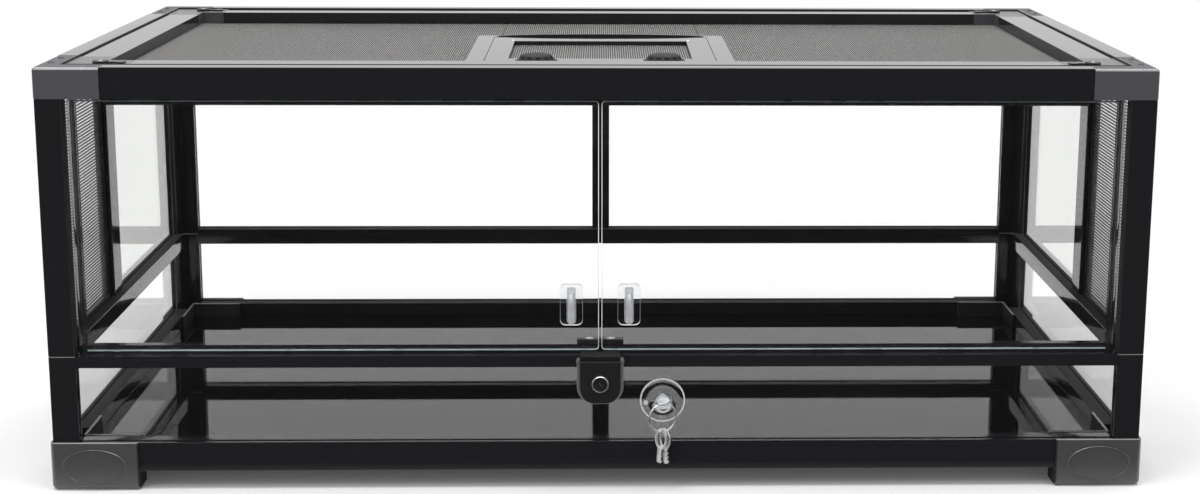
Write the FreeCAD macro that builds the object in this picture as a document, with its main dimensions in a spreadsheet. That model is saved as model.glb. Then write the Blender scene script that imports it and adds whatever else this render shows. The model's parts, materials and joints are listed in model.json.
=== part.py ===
import FreeCAD, Part
import Sketcher
import math
import os
import re

# Front-opening glass terrarium on four corner feet, with a screen lid, a feeding hatch and a key lock.
# Millimetres, +X right, +Y to the back, +Z up. The origin is the bottom centre of the bounding box: the lock
# stands furthest forward and the feet stand furthest back.

os.makedirs("parts", exist_ok=True)
doc = FreeCAD.newDocument("terrarium")

# Driving dimensions
SIZES = {
    # Overall frame, over the outer faces of the rails
    "width": 914,
    "depth": 457,
    "height": 358,
    # Corner feet
    "foot_length": 71,
    "foot_height": 42,
    "foot_rise": 16,
    "foot_wall": 2.5,
    "foot_round": 5,
    # Base rails and floor
    "base_rail_height": 25,
    "base_rail_depth": 20,
    "floor_thickness": 5,
    "floor_lift": 6,
    "floor_bite": 8,
    # Corner posts
    "post_wall": 12,
    "front_post_width": 22,
    "back_post_width": 28,
    "post_return": 40,
    # Panes and the grooves that hold them
    "glass_thickness": 4,
    "glass_inset": 4,
    "groove_depth": 5,
    "edge_play": 0.5,
    "face_play": 0.2,
    # Mid rails; the ledge is also where the lower posts end
    "ledge_level": 116,
    "mid_rail_below": 10,
    "mid_rail_above": 6,
    "mid_rail_depth": 18,
    "ledge_depth": 22,
    # Back mullion, side stiles and side vents
    "mullion_width": 18,
    "vent_end": 170,
    "stile_width": 26,
    "vent_border": 9,
    "screen_thickness": 0.8,
    # Top frame and its corner connectors
    "top_rail_height": 26,
    "rim_width": 17,
    "lid_ledge": 13,
    "lip_drop": 7,
    "lip_wall": 5,
    "corner_reach": 53,
    "corner_return": 72,
    "corner_proud": 0.6,
    "corner_round": 3,
    # Glass doors
    "door_inset": 8,
    "door_thickness": 5,
    "door_gap": 1.5,
    "door_lift": 2,
    "door_head": 2.5,
    "door_meet": 2.2,
    "door_round": 3,
    "hinge_wall": 1,
    "hinge_cover": 2.5,
    "hinge_gap": 1.5,
    "pin_radius": 2,
    "pin_play": 0.06,
    "pin_engage": 4,
    # Door handles
    "handle_width": 18.7,
    "handle_height": 35,
    "handle_depth": 15,
    "handle_bevel": 4.5,
    "handle_offset": 24,
    "handle_level": 141,
    # Door stop behind the meeting edges
    "stop_width": 39,
    "stop_height": 4,
    # Lock on the front mid rail
    "lock_width": 33,
    "lock_height": 35.5,
    "lock_depth": 13,
    "lock_reach": 16,
    "lock_round": 12,
    "lock_top_gap": 2,
    "bezel_wall": 3,
    "bezel_depth": 6,
    "cylinder_radius": 7,
    "cylinder_drop": 18.5,
    "cylinder_seat": 4,
    "keyway_width": 1.4,
    "keyway_height": 7,
    "keyway_depth": 2,
    "cam_pin_radius": 1.5,
    "cam_play": 0.4,
    "bolt_travel": 8,
    "bolt_width": 24,
    "bolt_thickness": 3,
    "bolt_length": 28,
    "bolt_play": 0.3,
    # Suction cup, ring and keys
    "cup_offset": 52.4,
    "cup_level": 76,
    "cup_radius": 19,
    "cup_edge": 1.2,
    "cup_seat": 2,
    "cup_hollow": 2.5,
    "cup_height": 6,
    "nub_radius": 6.5,
    "nub_reach": 17,
    "eye_reach": 12,
    "eye_radius": 3.6,
    "ring_radius": 12,
    "ring_wire": 0.9,
    "ring_yaw": 20,
    "key_yaw": -40,
    "key_fan": 12,
    "key_thickness": 1.6,
    "key_gap": 0.4,
    "bow_radius": 8,
    "bow_hole": 3,
    "bow_drop": 4,
    "blade_width": 6,
    "blade_length": 17,
    "bit_depth": 1.6,
    "bit_pitch": 4,
    "bit_count": 3,
    # Lid
    "lid_gap": 1.5,
    "lid_drop": 1,
    "lid_thickness": 14,
    "lid_rail_width": 31,
    "lid_corner_length": 52,
    "screen_lift": 2,
    # Turn locks at the lid's corners
    "turn_side": 28,
    "turn_end": 14,
    "turn_radius": 6.5,
    "turn_proud": 2,
    "turn_play": 0.3,
    "tongue_lift": 3.5,
    "tongue_thickness": 3,
    "tongue_width": 5,
    "tongue_length": 18.4,
    "keeper_depth": 4,
    "turn_slot_width": 2,
    "turn_slot_depth": 1.5,
    # Hatch in the lid
    "hatch_width": 199,
    "hatch_length": 188,
    "hatch_thickness": 4.6,
    "hatch_play": 0.5,
    "surround_side": 15.5,
    "surround_front": 10.5,
    "surround_back": 11.5,
    "surround_lip": 4,
    "lip_thickness": 1.5,
    "window_side": 20,
    "window_front": 39.5,
    "window_back": 30,
    "screen_bite": 5,
    "hatch_pin_radius": 1.5,
    "hatch_pin_length": 5,
    # Hatch knobs
    "knob_inset": 45,
    "knob_setback": 18,
    "knob_skirt_radius": 18,
    "knob_skirt_height": 1.5,
    "knob_radius": 15,
    "knob_crown_radius": 12,
    "knob_height": 7,
    "knob_shaft_radius": 3,
    "knob_tongue_width": 8,
    "knob_tongue_length": 24,
    "knob_tongue_thickness": 2,
    "knob_tongue_gap": 0.4,
    "knob_lift": 0.2,
}

dims = doc.addObject("Spreadsheet::Sheet", "dims")
for row, (alias, value) in enumerate(SIZES.items(), start=1):
    dims.set(f"A{row}", alias)
    dims.set(f"B{row}", str(value))
    dims.setAlias(f"B{row}", alias)
doc.recompute()

# Places worked out from the driving dimensions
FRONT = "(lock_reach - foot_wall - depth) / 2"
BACK = "(lock_reach - foot_wall + depth) / 2"
FLOOR = "foot_rise + floor_lift"
BASE_TOP = "foot_rise + base_rail_height"
MID_BOTTOM = "ledge_level - mid_rail_below"
MID_TOP = "ledge_level + mid_rail_above"
TOP_BOTTOM = "height - top_rail_height"
LID_TOP = "height - lid_drop"
LID_SEAT = "height - lid_drop - lid_thickness"
LID_EDGE = "rim_width + lid_gap"
LID_INNER = "rim_width + lid_gap + lid_rail_width"
GROOVE_NEAR = "glass_inset - face_play"
GROOVE_FAR = "glass_inset + glass_thickness + face_play"
EDGE_BITE = "groove_depth - edge_play"
DOOR_BOTTOM = "ledge_level + door_lift"
DOOR_TOP = "height - top_rail_height - door_head"
DOOR_BACK = "door_inset + door_thickness"
STRIP_RADIUS = "door_thickness / 2 + hinge_wall"
PIVOT_SIDE = "front_post_width + hinge_gap + door_thickness / 2 + hinge_wall"
PIVOT_END = "door_inset + door_thickness / 2"
LOCK_TOP = "ledge_level - lock_top_gap"
CYLINDER_LEVEL = "ledge_level - lock_top_gap - cylinder_drop"
BOLT_FAR = "cylinder_seat - lock_depth + bolt_thickness + bolt_play"
BOLT_NEAR = "cylinder_seat - lock_depth + bolt_play"
SCREEN = "height - lid_drop - lid_thickness + screen_lift"
SURROUND_BOTTOM = f"{SCREEN} + screen_thickness"
HATCH_BOTTOM = f"{SURROUND_BOTTOM} + lip_thickness + face_play"
HATCH_TOP = f"{HATCH_BOTTOM} + hatch_thickness"
HATCH_FRONT = f"{LID_INNER} + surround_front + hatch_play"
HATCH_BACK = f"{HATCH_FRONT} + hatch_length"
HATCH_PIVOT = f"{HATCH_BACK} - hatch_thickness / 2"
KNOB_OFFSET = "hatch_width / 2 - knob_inset"
RING_TOP = "cup_level"
RING_OUT = "glass_inset - eye_reach"
TURN_SIDE = "rim_width + lid_gap + turn_side"
TURN_END = "rim_width + lid_gap + turn_end"
TONGUE_BOTTOM = "height - lid_drop - lid_thickness + tongue_lift"

HANDS = ("left", "right")
ENDS = ("front", "back")
CORNERS = [(end, hand) for end in ENDS for hand in HANDS]
QUARTER_TURN = 90
HALF_TURN = 180
TURNS = {("front", "left"): 0, ("front", "right"): 90, ("back", "right"): 180, ("back", "left"): 270}

Z_AXIS = FreeCAD.Vector(0, 0, 1)
TO_FRONT = FreeCAD.Rotation(FreeCAD.Vector(1, 0, 0), 90)
TO_BACK = FreeCAD.Rotation(FreeCAD.Vector(1, 0, 0), -90)
TO_RIGHT = FreeCAD.Rotation(FreeCAD.Vector(0, 1, 0), 90)
NO_TURN = FreeCAD.Rotation()
nodes = {}


def size(text):
    """The value that an expression has now."""
    return float(dims.evalExpression(named(text)))


def named(text):
    """An expression with each size's name pointed at its cell."""
    return re.sub(r"[a-z]\w*", r"dims.\g<0>", text)


def bind(obj, path, text):
    """Ties one property of an object to an expression."""
    obj.setExpression(path, named(text))


def place(obj, x, y, z, rotation=NO_TURN):
    """Puts an object at a bound place, turned by a fixed rotation."""
    obj.Placement = FreeCAD.Placement(FreeCAD.Vector(), rotation)
    bind(obj, "Placement.Base.x", x)
    bind(obj, "Placement.Base.y", y)
    bind(obj, "Placement.Base.z", z)
    return obj


def from_side(hand, near, far):
    """X between two distances inward from the left or the right face."""
    if hand == "left":
        return f"{near} - width / 2", f"{far} - width / 2"
    return f"width / 2 - ({far})", f"width / 2 - ({near})"


def from_end(end, near, far):
    """Y between two distances inward from the front or the back face."""
    if end == "front":
        return f"{FRONT} + {near}", f"{FRONT} + {far}"
    return f"{BACK} - ({far})", f"{BACK} - ({near})"


def across(inset):
    """X between the two sides, at one distance inward from each."""
    return from_side("left", inset, inset)[0], from_side("right", inset, inset)[1]


def through(front_inset, back_inset):
    """Y between the front and the back, at a distance inward from each."""
    return from_end("front", front_inset, front_inset)[0], from_end("back", back_inset, back_inset)[1]


def centred(breadth):
    """X across the middle."""
    return f"-({breadth}) / 2", f"({breadth}) / 2"


def box(name, x, y, z):
    """A block between pairs of places along X, Y and Z."""
    obj = doc.addObject("Part::Box", name)
    for side, (low, high) in zip(("Length", "Width", "Height"), (x, y, z)):
        bind(obj, side, f"({high}) - ({low})")
    return place(obj, x[0], y[0], z[0])


def rod(name, radius, length, x, y, z, rotation=NO_TURN, sweep=360):
    """A round bar, or a sector of one, from a place along its turned axis."""
    obj = doc.addObject("Part::Cylinder", name)
    bind(obj, "Radius", radius)
    bind(obj, "Height", length)
    obj.Angle = sweep
    return place(obj, x, y, z, rotation)


def fuse(name, *pieces):
    """Pieces joined into one solid."""
    obj = doc.addObject("Part::MultiFuse", name)
    obj.Shapes = list(pieces)
    obj.Refine = True
    return obj


def cut(name, base, *tools):
    """A piece with other shapes taken out of it."""
    obj = doc.addObject("Part::Cut", name)
    obj.Base = base
    obj.Tool = tools[0] if len(tools) == 1 else fuse(f"{name}_tools", *tools)
    obj.Refine = True
    return obj


def keep(obj, name):
    """Makes an object a sub-part of the assembly."""
    obj.Label = name
    nodes[name] = obj
    return obj


def keep_group(name, pieces):
    """Makes several separate solids one sub-part."""
    group = doc.addObject("Part::Compound", name)
    group.Links = pieces
    return keep(group, name)


def plane(body, role):
    """One of a body's own origin planes."""
    return next(feature for feature in body.Origin.OriginFeatures if feature.Role == role)


def outline(body, name, points):
    """A closed sketch on the body's XY plane, each corner held by two bound distances."""
    sketch = body.newObject("Sketcher::SketchObject", name)
    sketch.AttachmentSupport = [(plane(body, "XY_Plane"), "")]
    sketch.MapMode = "FlatFace"
    corners = [FreeCAD.Vector(size(u), size(v), 0) for u, v in points]
    for start, finish in zip(corners, corners[1:] + corners[:1]):
        sketch.addGeometry(Part.LineSegment(start, finish), False)
    for index, (u, v) in enumerate(points):
        before = (index - 1) % len(points)
        sketch.addConstraint(Sketcher.Constraint("Coincident", before, 2, index, 1))
        for kind, text in (("DistanceX", u), ("DistanceY", v)):
            number = sketch.addConstraint(Sketcher.Constraint(kind, -1, 1, index, 1, size(text)))
            bind(sketch, f"Constraints[{number}]", text)
    return sketch


def prism(name, points, length):
    """A body padded upward from an outline."""
    body = doc.addObject("PartDesign::Body", name)
    pad = body.newObject("PartDesign::Pad", f"{name}_pad")
    pad.Profile = outline(body, f"{name}_outline", points)
    bind(pad, "Length", length)
    body.Tip = pad
    doc.recompute()
    return body


def turned(name, points):
    """A body turned about the V axis of an outline."""
    body = doc.addObject("PartDesign::Body", name)
    sketch = outline(body, f"{name}_outline", points)
    turn = body.newObject("PartDesign::Revolution", f"{name}_turn")
    turn.Profile = sketch
    turn.ReferenceAxis = (sketch, ["V_Axis"])
    turn.Angle = 360
    body.Tip = turn
    doc.recompute()
    return body


def edges_at(body, test):
    """The names of a body's edges whose middles pass a test."""
    edges = body.Tip.Shape.Edges
    return [f"Edge{i}" for i, edge in enumerate(edges, start=1) if test(edge.CenterOfMass)]


def soften(body, kind, names, amount):
    """A fillet or a chamfer on some of a body's edges."""
    base = body.Tip
    feature = body.newObject(f"PartDesign::{kind}", f"{body.Name}_{kind.lower()}")
    feature.Base = (base, names)
    bind(feature, "Radius" if kind == "Fillet" else "Size", amount)
    body.Tip = feature
    doc.recompute()
    return body


def near(value, text):
    """Whether a coordinate lies at the place that an expression gives."""
    return math.isclose(value, size(text), abs_tol=1e-6)


def plate(name, breadth, rise, thickness):
    """A flat upright body: its outline's V axis will stand along Z."""
    return prism(name, [("0", "0"), (breadth, "0"), (breadth, rise), ("0", rise)], thickness)


def elbow(name, u_length, v_length, proud, arm, rise):
    """An L-shaped block round a corner of the frame, standing proud of both outer faces."""
    corner = [(f"-({proud})", f"-({proud})"), (u_length, f"-({proud})"), (u_length, arm)]
    return prism(name, corner + [(arm, arm), (arm, v_length), (f"-({proud})", v_length)], rise)


def soften_elbow(body, proud, level, radius):
    """Rounds an elbow's outer upright edge and its outer edges at one level."""
    def outer(middle):
        on_u = near(middle.x, f"-({proud})")
        on_v = near(middle.y, f"-({proud})")
        return (on_u and on_v) or ((on_u or on_v) and near(middle.z, level))
    return soften(body, "Fillet", edges_at(body, outer), radius)


def at_corner(obj, end, hand, level):
    """Puts something built at the frame's front left corner at any of the four corners."""
    x = from_side(hand, "0", "0")[0]
    y = from_end(end, "0", "0")[0]
    return place(obj, x, y, level, FreeCAD.Rotation(Z_AXIS, TURNS[end, hand]))


# Corner feet
for end, hand in CORNERS:
    name = f"foot_{end}_{hand}"
    arm = "base_rail_depth + foot_wall"
    boot = elbow(f"{name}_boot", "foot_length", "foot_length", "foot_wall", arm, "foot_height")
    soften_elbow(boot, "foot_wall", "0", "foot_round")
    at_corner(boot, end, hand, "0")
    socket_rise = ("foot_rise", "2 * foot_height")
    reach = from_side(hand, "0", "2 * foot_length")
    socket_u = box(f"{name}_socket_u", reach, from_end(end, "0", "base_rail_depth"), socket_rise)
    reach = from_end(end, "0", "2 * foot_length")
    socket_v = box(f"{name}_socket_v", from_side(hand, "0", "base_rail_depth"), reach, socket_rise)
    keep(cut(name, boot, socket_u, socket_v), name)

# Base rails, grooved for the floor and the lower panes
floor_groove_near = "base_rail_depth - floor_bite - edge_play"
floor_groove_rise = (FLOOR, f"{FLOOR} + floor_thickness + face_play")
base_rise = ("foot_rise", BASE_TOP)
base_groove_rise = (f"{BASE_TOP} - groove_depth", f"{BASE_TOP} + groove_depth")
for end in ENDS:
    name = f"base_rail_{end}"
    run = across(f"{end}_post_width")
    bar = box(f"{name}_bar", run, from_end(end, "0", "base_rail_depth"), base_rise)
    floor_groove = from_end(end, floor_groove_near, "2 * base_rail_depth")
    floor_groove = box(f"{name}_floor_groove", run, floor_groove, floor_groove_rise)
    pane_groove = from_end(end, GROOVE_NEAR, GROOVE_FAR)
    pane_groove = box(f"{name}_pane_groove", run, pane_groove, base_groove_rise)
    keep(cut(name, bar, floor_groove, pane_groove), name)
for hand in HANDS:
    name = f"base_rail_{hand}"
    run = through("post_return", "post_return")
    bar = box(f"{name}_bar", from_side(hand, "0", "base_rail_depth"), run, base_rise)
    floor_groove = from_side(hand, floor_groove_near, "2 * base_rail_depth")
    floor_groove = box(f"{name}_floor_groove", floor_groove, run, floor_groove_rise)
    pane_groove = from_side(hand, GROOVE_NEAR, GROOVE_FAR)
    pane_groove = box(f"{name}_pane_groove", pane_groove, run, base_groove_rise)
    keep(cut(name, bar, floor_groove, pane_groove), name)

# Floor panel, notched round the inner walls of the feet
floor_inset = "base_rail_depth - floor_bite"
floor_rise = (FLOOR, f"{FLOOR} + floor_thickness")
slab = box("floor_slab", across(floor_inset), through(floor_inset, floor_inset), floor_rise)
notches = []
notch_long = "foot_length + face_play"
notch_wide = "base_rail_depth + foot_wall + face_play"
for end, hand in CORNERS:
    name = f"floor_notch_{end}_{hand}"
    reach = from_side(hand, "0", notch_long)
    notches.append(box(f"{name}_u", reach, from_end(end, "0", notch_wide), floor_rise))
    reach = from_end(end, "0", notch_long)
    notches.append(box(f"{name}_v", from_side(hand, "0", notch_wide), reach, floor_rise))
keep(cut("floor_panel", slab, *notches), "floor_panel")


def post(name, end, hand, rise, pane_on_end):
    """A corner post of L section, grooved for the pane at its side and, if there is one, at its end."""
    width = f"{end}_post_width"
    end_flange = box(f"{name}_end", from_side(hand, "0", width), from_end(end, "0", "post_wall"), rise)
    side_flange = from_end(end, "0", "post_return")
    side_flange = box(f"{name}_side", from_side(hand, "0", "post_wall"), side_flange, rise)
    groove_run = from_end(end, "post_return - groove_depth", "post_return + groove_depth")
    grooves = [box(f"{name}_side_groove", from_side(hand, GROOVE_NEAR, GROOVE_FAR), groove_run, rise)]
    if pane_on_end:
        groove_run = from_side(hand, f"{width} - groove_depth", f"{width} + groove_depth")
        groove = box(f"{name}_end_groove", groove_run, from_end(end, GROOVE_NEAR, GROOVE_FAR), rise)
        grooves.append(groove)
    return cut(name, fuse(f"{name}_angle", end_flange, side_flange), *grooves)


# Corner posts, in two lengths that meet at the ledge
lower_rise = ("foot_rise", "ledge_level")
upper_rise = ("ledge_level", TOP_BOTTOM)
lower_posts = [post(f"lower_post_{end}_{hand}", end, hand, lower_rise, True) for end, hand in CORNERS]
keep_group("lower_posts", lower_posts)
upper_posts = []
for end, hand in CORNERS:
    pane_on_end = end == "back"
    upper_posts.append(post(f"upper_post_{end}_{hand}", end, hand, upper_rise, pane_on_end))
keep_group("upper_posts", upper_posts)

# Mid rails
mid_rise = (MID_BOTTOM, MID_TOP)
mid_groove_low = (f"{MID_BOTTOM} - groove_depth", f"{MID_BOTTOM} + groove_depth")
mid_groove_high = (f"{MID_TOP} - groove_depth", f"{MID_TOP} + groove_depth")
run = across("back_post_width")
bar = box("mid_rail_back_bar", run, from_end("back", "0", "mid_rail_depth"), mid_rise)
groove = from_end("back", GROOVE_NEAR, GROOVE_FAR)
low_groove = box("mid_rail_back_low", run, groove, mid_groove_low)
high_groove = box("mid_rail_back_high", run, groove, mid_groove_high)
keep(cut("mid_rail_back", bar, low_groove, high_groove), "mid_rail_back")
for hand in HANDS:
    name = f"mid_rail_{hand}"
    run = through("post_return", "post_return")
    bar = box(f"{name}_bar", from_side(hand, "0", "mid_rail_depth"), run, mid_rise)
    groove = from_side(hand, GROOVE_NEAR, GROOVE_FAR)
    low_groove = box(f"{name}_low", groove, run, mid_groove_low)
    high_groove = box(f"{name}_high", groove, run, mid_groove_high)
    keep(cut(name, bar, low_groove, high_groove), name)

# Front mid rail: a ledge under the doors and a raised lip behind them
run = across("front_post_width")
ledge = box("front_ledge", run, from_end("front", "0", "ledge_depth"), (MID_BOTTOM, "ledge_level"))
lip = from_end("front", f"{DOOR_BACK} + door_gap", "ledge_depth")
lip = box("front_ledge_lip", run, lip, ("ledge_level", MID_TOP))
groove = box("front_ledge_groove", run, from_end("front", GROOVE_NEAR, GROOVE_FAR), mid_groove_low)
sockets = []
for hand in HANDS:
    x = from_side(hand, PIVOT_SIDE, PIVOT_SIDE)[0]
    y = from_end("front", PIVOT_END, PIVOT_END)[0]
    z = "ledge_level - pin_engage - edge_play"
    sockets.append(rod(f"front_ledge_socket_{hand}", "pin_radius + pin_play", "mid_rail_below", x, y, z))
keep(cut("mid_rail_front", fuse("front_ledge_step", ledge, lip), groove, *sockets), "mid_rail_front")

# Lower panes, standing on the base rails' grooves
pane_wall = ("glass_inset", "glass_inset + glass_thickness")
lower_pane_rise = (f"{BASE_TOP} - groove_depth", f"{MID_BOTTOM} + {EDGE_BITE}")
for end in ENDS:
    name = f"lower_glass_{end}"
    run = across(f"{end}_post_width - groove_depth + edge_play")
    keep(box(name, run, from_end(end, *pane_wall), lower_pane_rise), name)
edge = "post_return - groove_depth + edge_play"
run = through(edge, edge)
side_panes = []
for hand in HANDS:
    side_panes.append(box(f"lower_glass_{hand}", from_side(hand, *pane_wall), run, lower_pane_rise))
keep_group("lower_glass_sides", side_panes)

# Back wall: a mullion between two panes
upper_pane_rise = (f"{MID_TOP} - groove_depth", f"{TOP_BOTTOM} + {EDGE_BITE}")
wall_rise = (MID_TOP, TOP_BOTTOM)
stick = box("back_mullion_bar", centred("mullion_width"), from_end("back", "0", "post_wall"), wall_rise)
grooves = []
for hand in HANDS:
    far_face = "width / 2 - mullion_width / 2"
    groove = from_side(hand, f"{far_face} - groove_depth", f"{far_face} + groove_depth")
    groove_wall = from_end("back", GROOVE_NEAR, GROOVE_FAR)
    grooves.append(box(f"back_mullion_groove_{hand}", groove, groove_wall, wall_rise))
    run = from_side(hand, "back_post_width - groove_depth + edge_play", f"{far_face} + {EDGE_BITE}")
    name = f"upper_glass_back_{hand}"
    keep(box(name, run, from_end("back", *pane_wall), upper_pane_rise), name)
keep(cut("back_mullion", stick, *grooves), "back_mullion")

# Side walls: a vent screen, a stile and a pane on each side
stiles = []
for hand in HANDS:
    name = f"side_stile_{hand}"
    run = from_end("front", "vent_end", "vent_end + stile_width")
    stick = box(f"{name}_bar", from_side(hand, "0", "post_wall"), run, wall_rise)
    groove_wall = from_side(hand, GROOVE_NEAR, GROOVE_FAR)
    groove = from_end("front", "vent_end - groove_depth", "vent_end + groove_depth")
    front_groove = box(f"{name}_front_groove", groove_wall, groove, wall_rise)
    far_edge = "vent_end + stile_width"
    groove = from_end("front", f"{far_edge} - groove_depth", f"{far_edge} + groove_depth")
    back_groove = box(f"{name}_back_groove", groove_wall, groove, wall_rise)
    stiles.append(cut(name, stick, front_groove, back_groove))

    name = f"side_glass_{hand}"
    back_edge = "post_return - groove_depth + edge_play"
    run = through(f"{far_edge} - groove_depth + edge_play", back_edge)
    keep(box(name, from_side(hand, *pane_wall), run, upper_pane_rise), name)

    name = f"vent_screen_{hand}"
    vent_near = "post_return - groove_depth + edge_play"
    vent_far = f"vent_end + {EDGE_BITE}"
    run = from_end("front", vent_near, vent_far)
    panel = box(f"{name}_panel", from_side(hand, *pane_wall), run, upper_pane_rise)
    run = from_end("front", f"{vent_near} + vent_border", f"{vent_far} - vent_border")
    rise = (f"{upper_pane_rise[0]} + vent_border", f"{upper_pane_rise[1]} - vent_border")
    field_near = "glass_inset + glass_thickness / 2 - screen_thickness / 2"
    field_far = "glass_inset + glass_thickness / 2 + screen_thickness / 2"
    outer_recess = box(f"{name}_outer", from_side(hand, "0", field_near), run, rise)
    inner_recess = box(f"{name}_inner", from_side(hand, field_far, "post_wall"), run, rise)
    keep(cut(name, panel, outer_recess, inner_recess), name)
keep_group("side_stiles", stiles)

# Top rails: a rim round the lid and a ledge under it
rim_rise = (TOP_BOTTOM, "height")
seat_rise = (TOP_BOTTOM, LID_SEAT)
seat_far = "rim_width + lid_ledge"
top_groove_rise = (f"{TOP_BOTTOM} - groove_depth", f"{TOP_BOTTOM} + groove_depth")
run = across("corner_reach")
for end in ENDS:
    name = f"top_rail_{end}"
    rim = box(f"{name}_rim", run, from_end(end, "0", "rim_width"), rim_rise)
    seat = box(f"{name}_seat", run, from_end(end, "rim_width", seat_far), seat_rise)
    if end == "front":
        lip_near = f"{DOOR_BACK} + door_gap"
        lip = from_end(end, lip_near, f"{lip_near} + lip_wall")
        lip = box(f"{name}_lip", run, lip, (f"{TOP_BOTTOM} - lip_drop", TOP_BOTTOM))
        keep(fuse(name, rim, seat, lip), name)
    else:
        groove = box(f"{name}_groove", run, from_end(end, GROOVE_NEAR, GROOVE_FAR), top_groove_rise)
        keep(cut(name, fuse(f"{name}_step", rim, seat), groove), name)
run = through("corner_return", "corner_return")
for hand in HANDS:
    name = f"top_rail_{hand}"
    rim = box(f"{name}_rim", from_side(hand, "0", "rim_width"), run, rim_rise)
    seat = box(f"{name}_seat", from_side(hand, "rim_width", seat_far), run, seat_rise)
    groove = box(f"{name}_groove", from_side(hand, GROOVE_NEAR, GROOVE_FAR), run, top_groove_rise)
    keep(cut(name, fuse(f"{name}_step", rim, seat), groove), name)

# Corner connectors of the top frame, with a keeper slot for each turn lock
keeper_rise = (f"{TONGUE_BOTTOM} - turn_play", f"{TONGUE_BOTTOM} + tongue_thickness + turn_play")
for end, hand in CORNERS:
    name = f"top_corner_{end}_{hand}"
    u_length = "corner_reach"
    v_length = "corner_return"
    if TURNS[end, hand] % HALF_TURN:
        u_length, v_length = v_length, u_length
    rim = elbow(f"{name}_rim", u_length, v_length, "corner_proud", "rim_width", "top_rail_height")
    soften_elbow(rim, "corner_proud", "top_rail_height", "corner_round")
    at_corner(rim, end, hand, TOP_BOTTOM)
    seat_run = from_side(hand, "rim_width", "corner_reach")
    seat_u = box(f"{name}_seat_u", seat_run, from_end(end, "rim_width", seat_far), seat_rise)
    seat_run = from_end(end, "rim_width", "corner_return")
    seat_v = box(f"{name}_seat_v", from_side(hand, "rim_width", seat_far), seat_run, seat_rise)
    groove_run = from_end(end, "post_return - groove_depth", "2 * corner_return")
    tools = [box(f"{name}_groove", from_side(hand, GROOVE_NEAR, GROOVE_FAR), groove_run, top_groove_rise)]
    keeper = from_side(hand, f"{TURN_SIDE} - tongue_length", f"{TURN_SIDE} + tongue_width / 2 + turn_play")
    keeper_wall = from_end(end, "rim_width - keeper_depth", seat_far)
    tools.append(box(f"{name}_keeper", keeper, keeper_wall, keeper_rise))
    if end == "front":
        x = from_side(hand, PIVOT_SIDE, PIVOT_SIDE)[0]
        y = from_end(end, PIVOT_END, PIVOT_END)[0]
        z = f"{TOP_BOTTOM} - pin_engage"
        reach = "2 * pin_engage + edge_play"
        tools.append(rod(f"{name}_socket", "pin_radius + pin_play", reach, x, y, z))
    else:
        groove_run = from_side(hand, "back_post_width - groove_depth", "2 * corner_reach")
        groove_wall = from_end(end, GROOVE_NEAR, GROOVE_FAR)
        tools.append(box(f"{name}_back_groove", groove_run, groove_wall, top_groove_rise))
    keep(cut(name, fuse(f"{name}_step", rim, seat_u, seat_v), *tools), name)

# Glass doors, each in a hinge strip with a pin at both ends
for hand in HANDS:
    edge = f"{PIVOT_SIDE} + hinge_wall"
    name = f"{hand}_door_glass"
    length = f"{DOOR_TOP} - ({DOOR_BOTTOM})"
    pane = plate(name, f"width / 2 - ({edge}) - door_meet / 2", length, "door_thickness")
    soften(pane, "Fillet", edges_at(pane, lambda middle: near(middle.z, "door_thickness / 2")), "door_round")
    x = from_side(hand, edge, "width / 2 - door_meet / 2")[0]
    keep(place(pane, x, from_end("front", DOOR_BACK, DOOR_BACK)[0], DOOR_BOTTOM, TO_FRONT), name)

    name = f"{hand}_door_hinge"
    pivot_x = from_side(hand, PIVOT_SIDE, PIVOT_SIDE)[0]
    pivot_y = from_end("front", PIVOT_END, PIVOT_END)[0]
    barrel = rod(f"{name}_barrel", STRIP_RADIUS, length, pivot_x, pivot_y, DOOR_BOTTOM)
    cheek_run = from_side(hand, PIVOT_SIDE, f"{edge} + hinge_cover")
    cheek_wall = from_end("front", "door_inset - hinge_wall", f"{DOOR_BACK} + hinge_wall")
    cheeks = box(f"{name}_cheeks", cheek_run, cheek_wall, (DOOR_BOTTOM, DOOR_TOP))
    pin_length = f"{TOP_BOTTOM} - ledge_level + 2 * pin_engage"
    pin = rod(f"{name}_pin", "pin_radius", pin_length, pivot_x, pivot_y, "ledge_level - pin_engage")
    slot_run = from_side(hand, edge, f"{edge} + 2 * hinge_cover")
    slot = box(f"{name}_slot", slot_run, from_end("front", "door_inset", DOOR_BACK), (DOOR_BOTTOM, DOOR_TOP))
    keep(cut(name, fuse(f"{name}_strip", barrel, cheeks, pin), slot), name)

    name = f"{hand}_door_handle"
    grip = plate(name, "handle_width", "handle_height", "handle_depth")
    soften(grip, "Chamfer", edges_at(grip, lambda middle: near(middle.z, "handle_depth")), "handle_bevel")
    centre = "width / 2 - handle_offset"
    x = from_side(hand, f"{centre} - handle_width / 2", f"{centre} + handle_width / 2")[0]
    keep(place(grip, x, from_end("front", "door_inset", "door_inset")[0], "handle_level", TO_FRONT), name)

# Door stop on the raised lip
stop_wall = from_end("front", f"{DOOR_BACK} + door_gap", "ledge_depth")
stop_rise = (MID_TOP, f"{MID_TOP} + stop_height")
keep(box("door_stop", centred("stop_width"), stop_wall, stop_rise), "door_stop")


def shield(name, breadth, rise, thickness, radius):
    """An upright plate with its two lower corners rounded, hung from the lock's top on the front face."""
    body = plate(name, breadth, rise, thickness)
    lower = edges_at(body, lambda middle: near(middle.z, f"({thickness}) / 2") and near(middle.y, "0"))
    soften(body, "Fillet", lower, radius)
    return place(body, f"-({breadth}) / 2", FRONT, f"{LOCK_TOP} - ({rise})", TO_FRONT)


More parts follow.
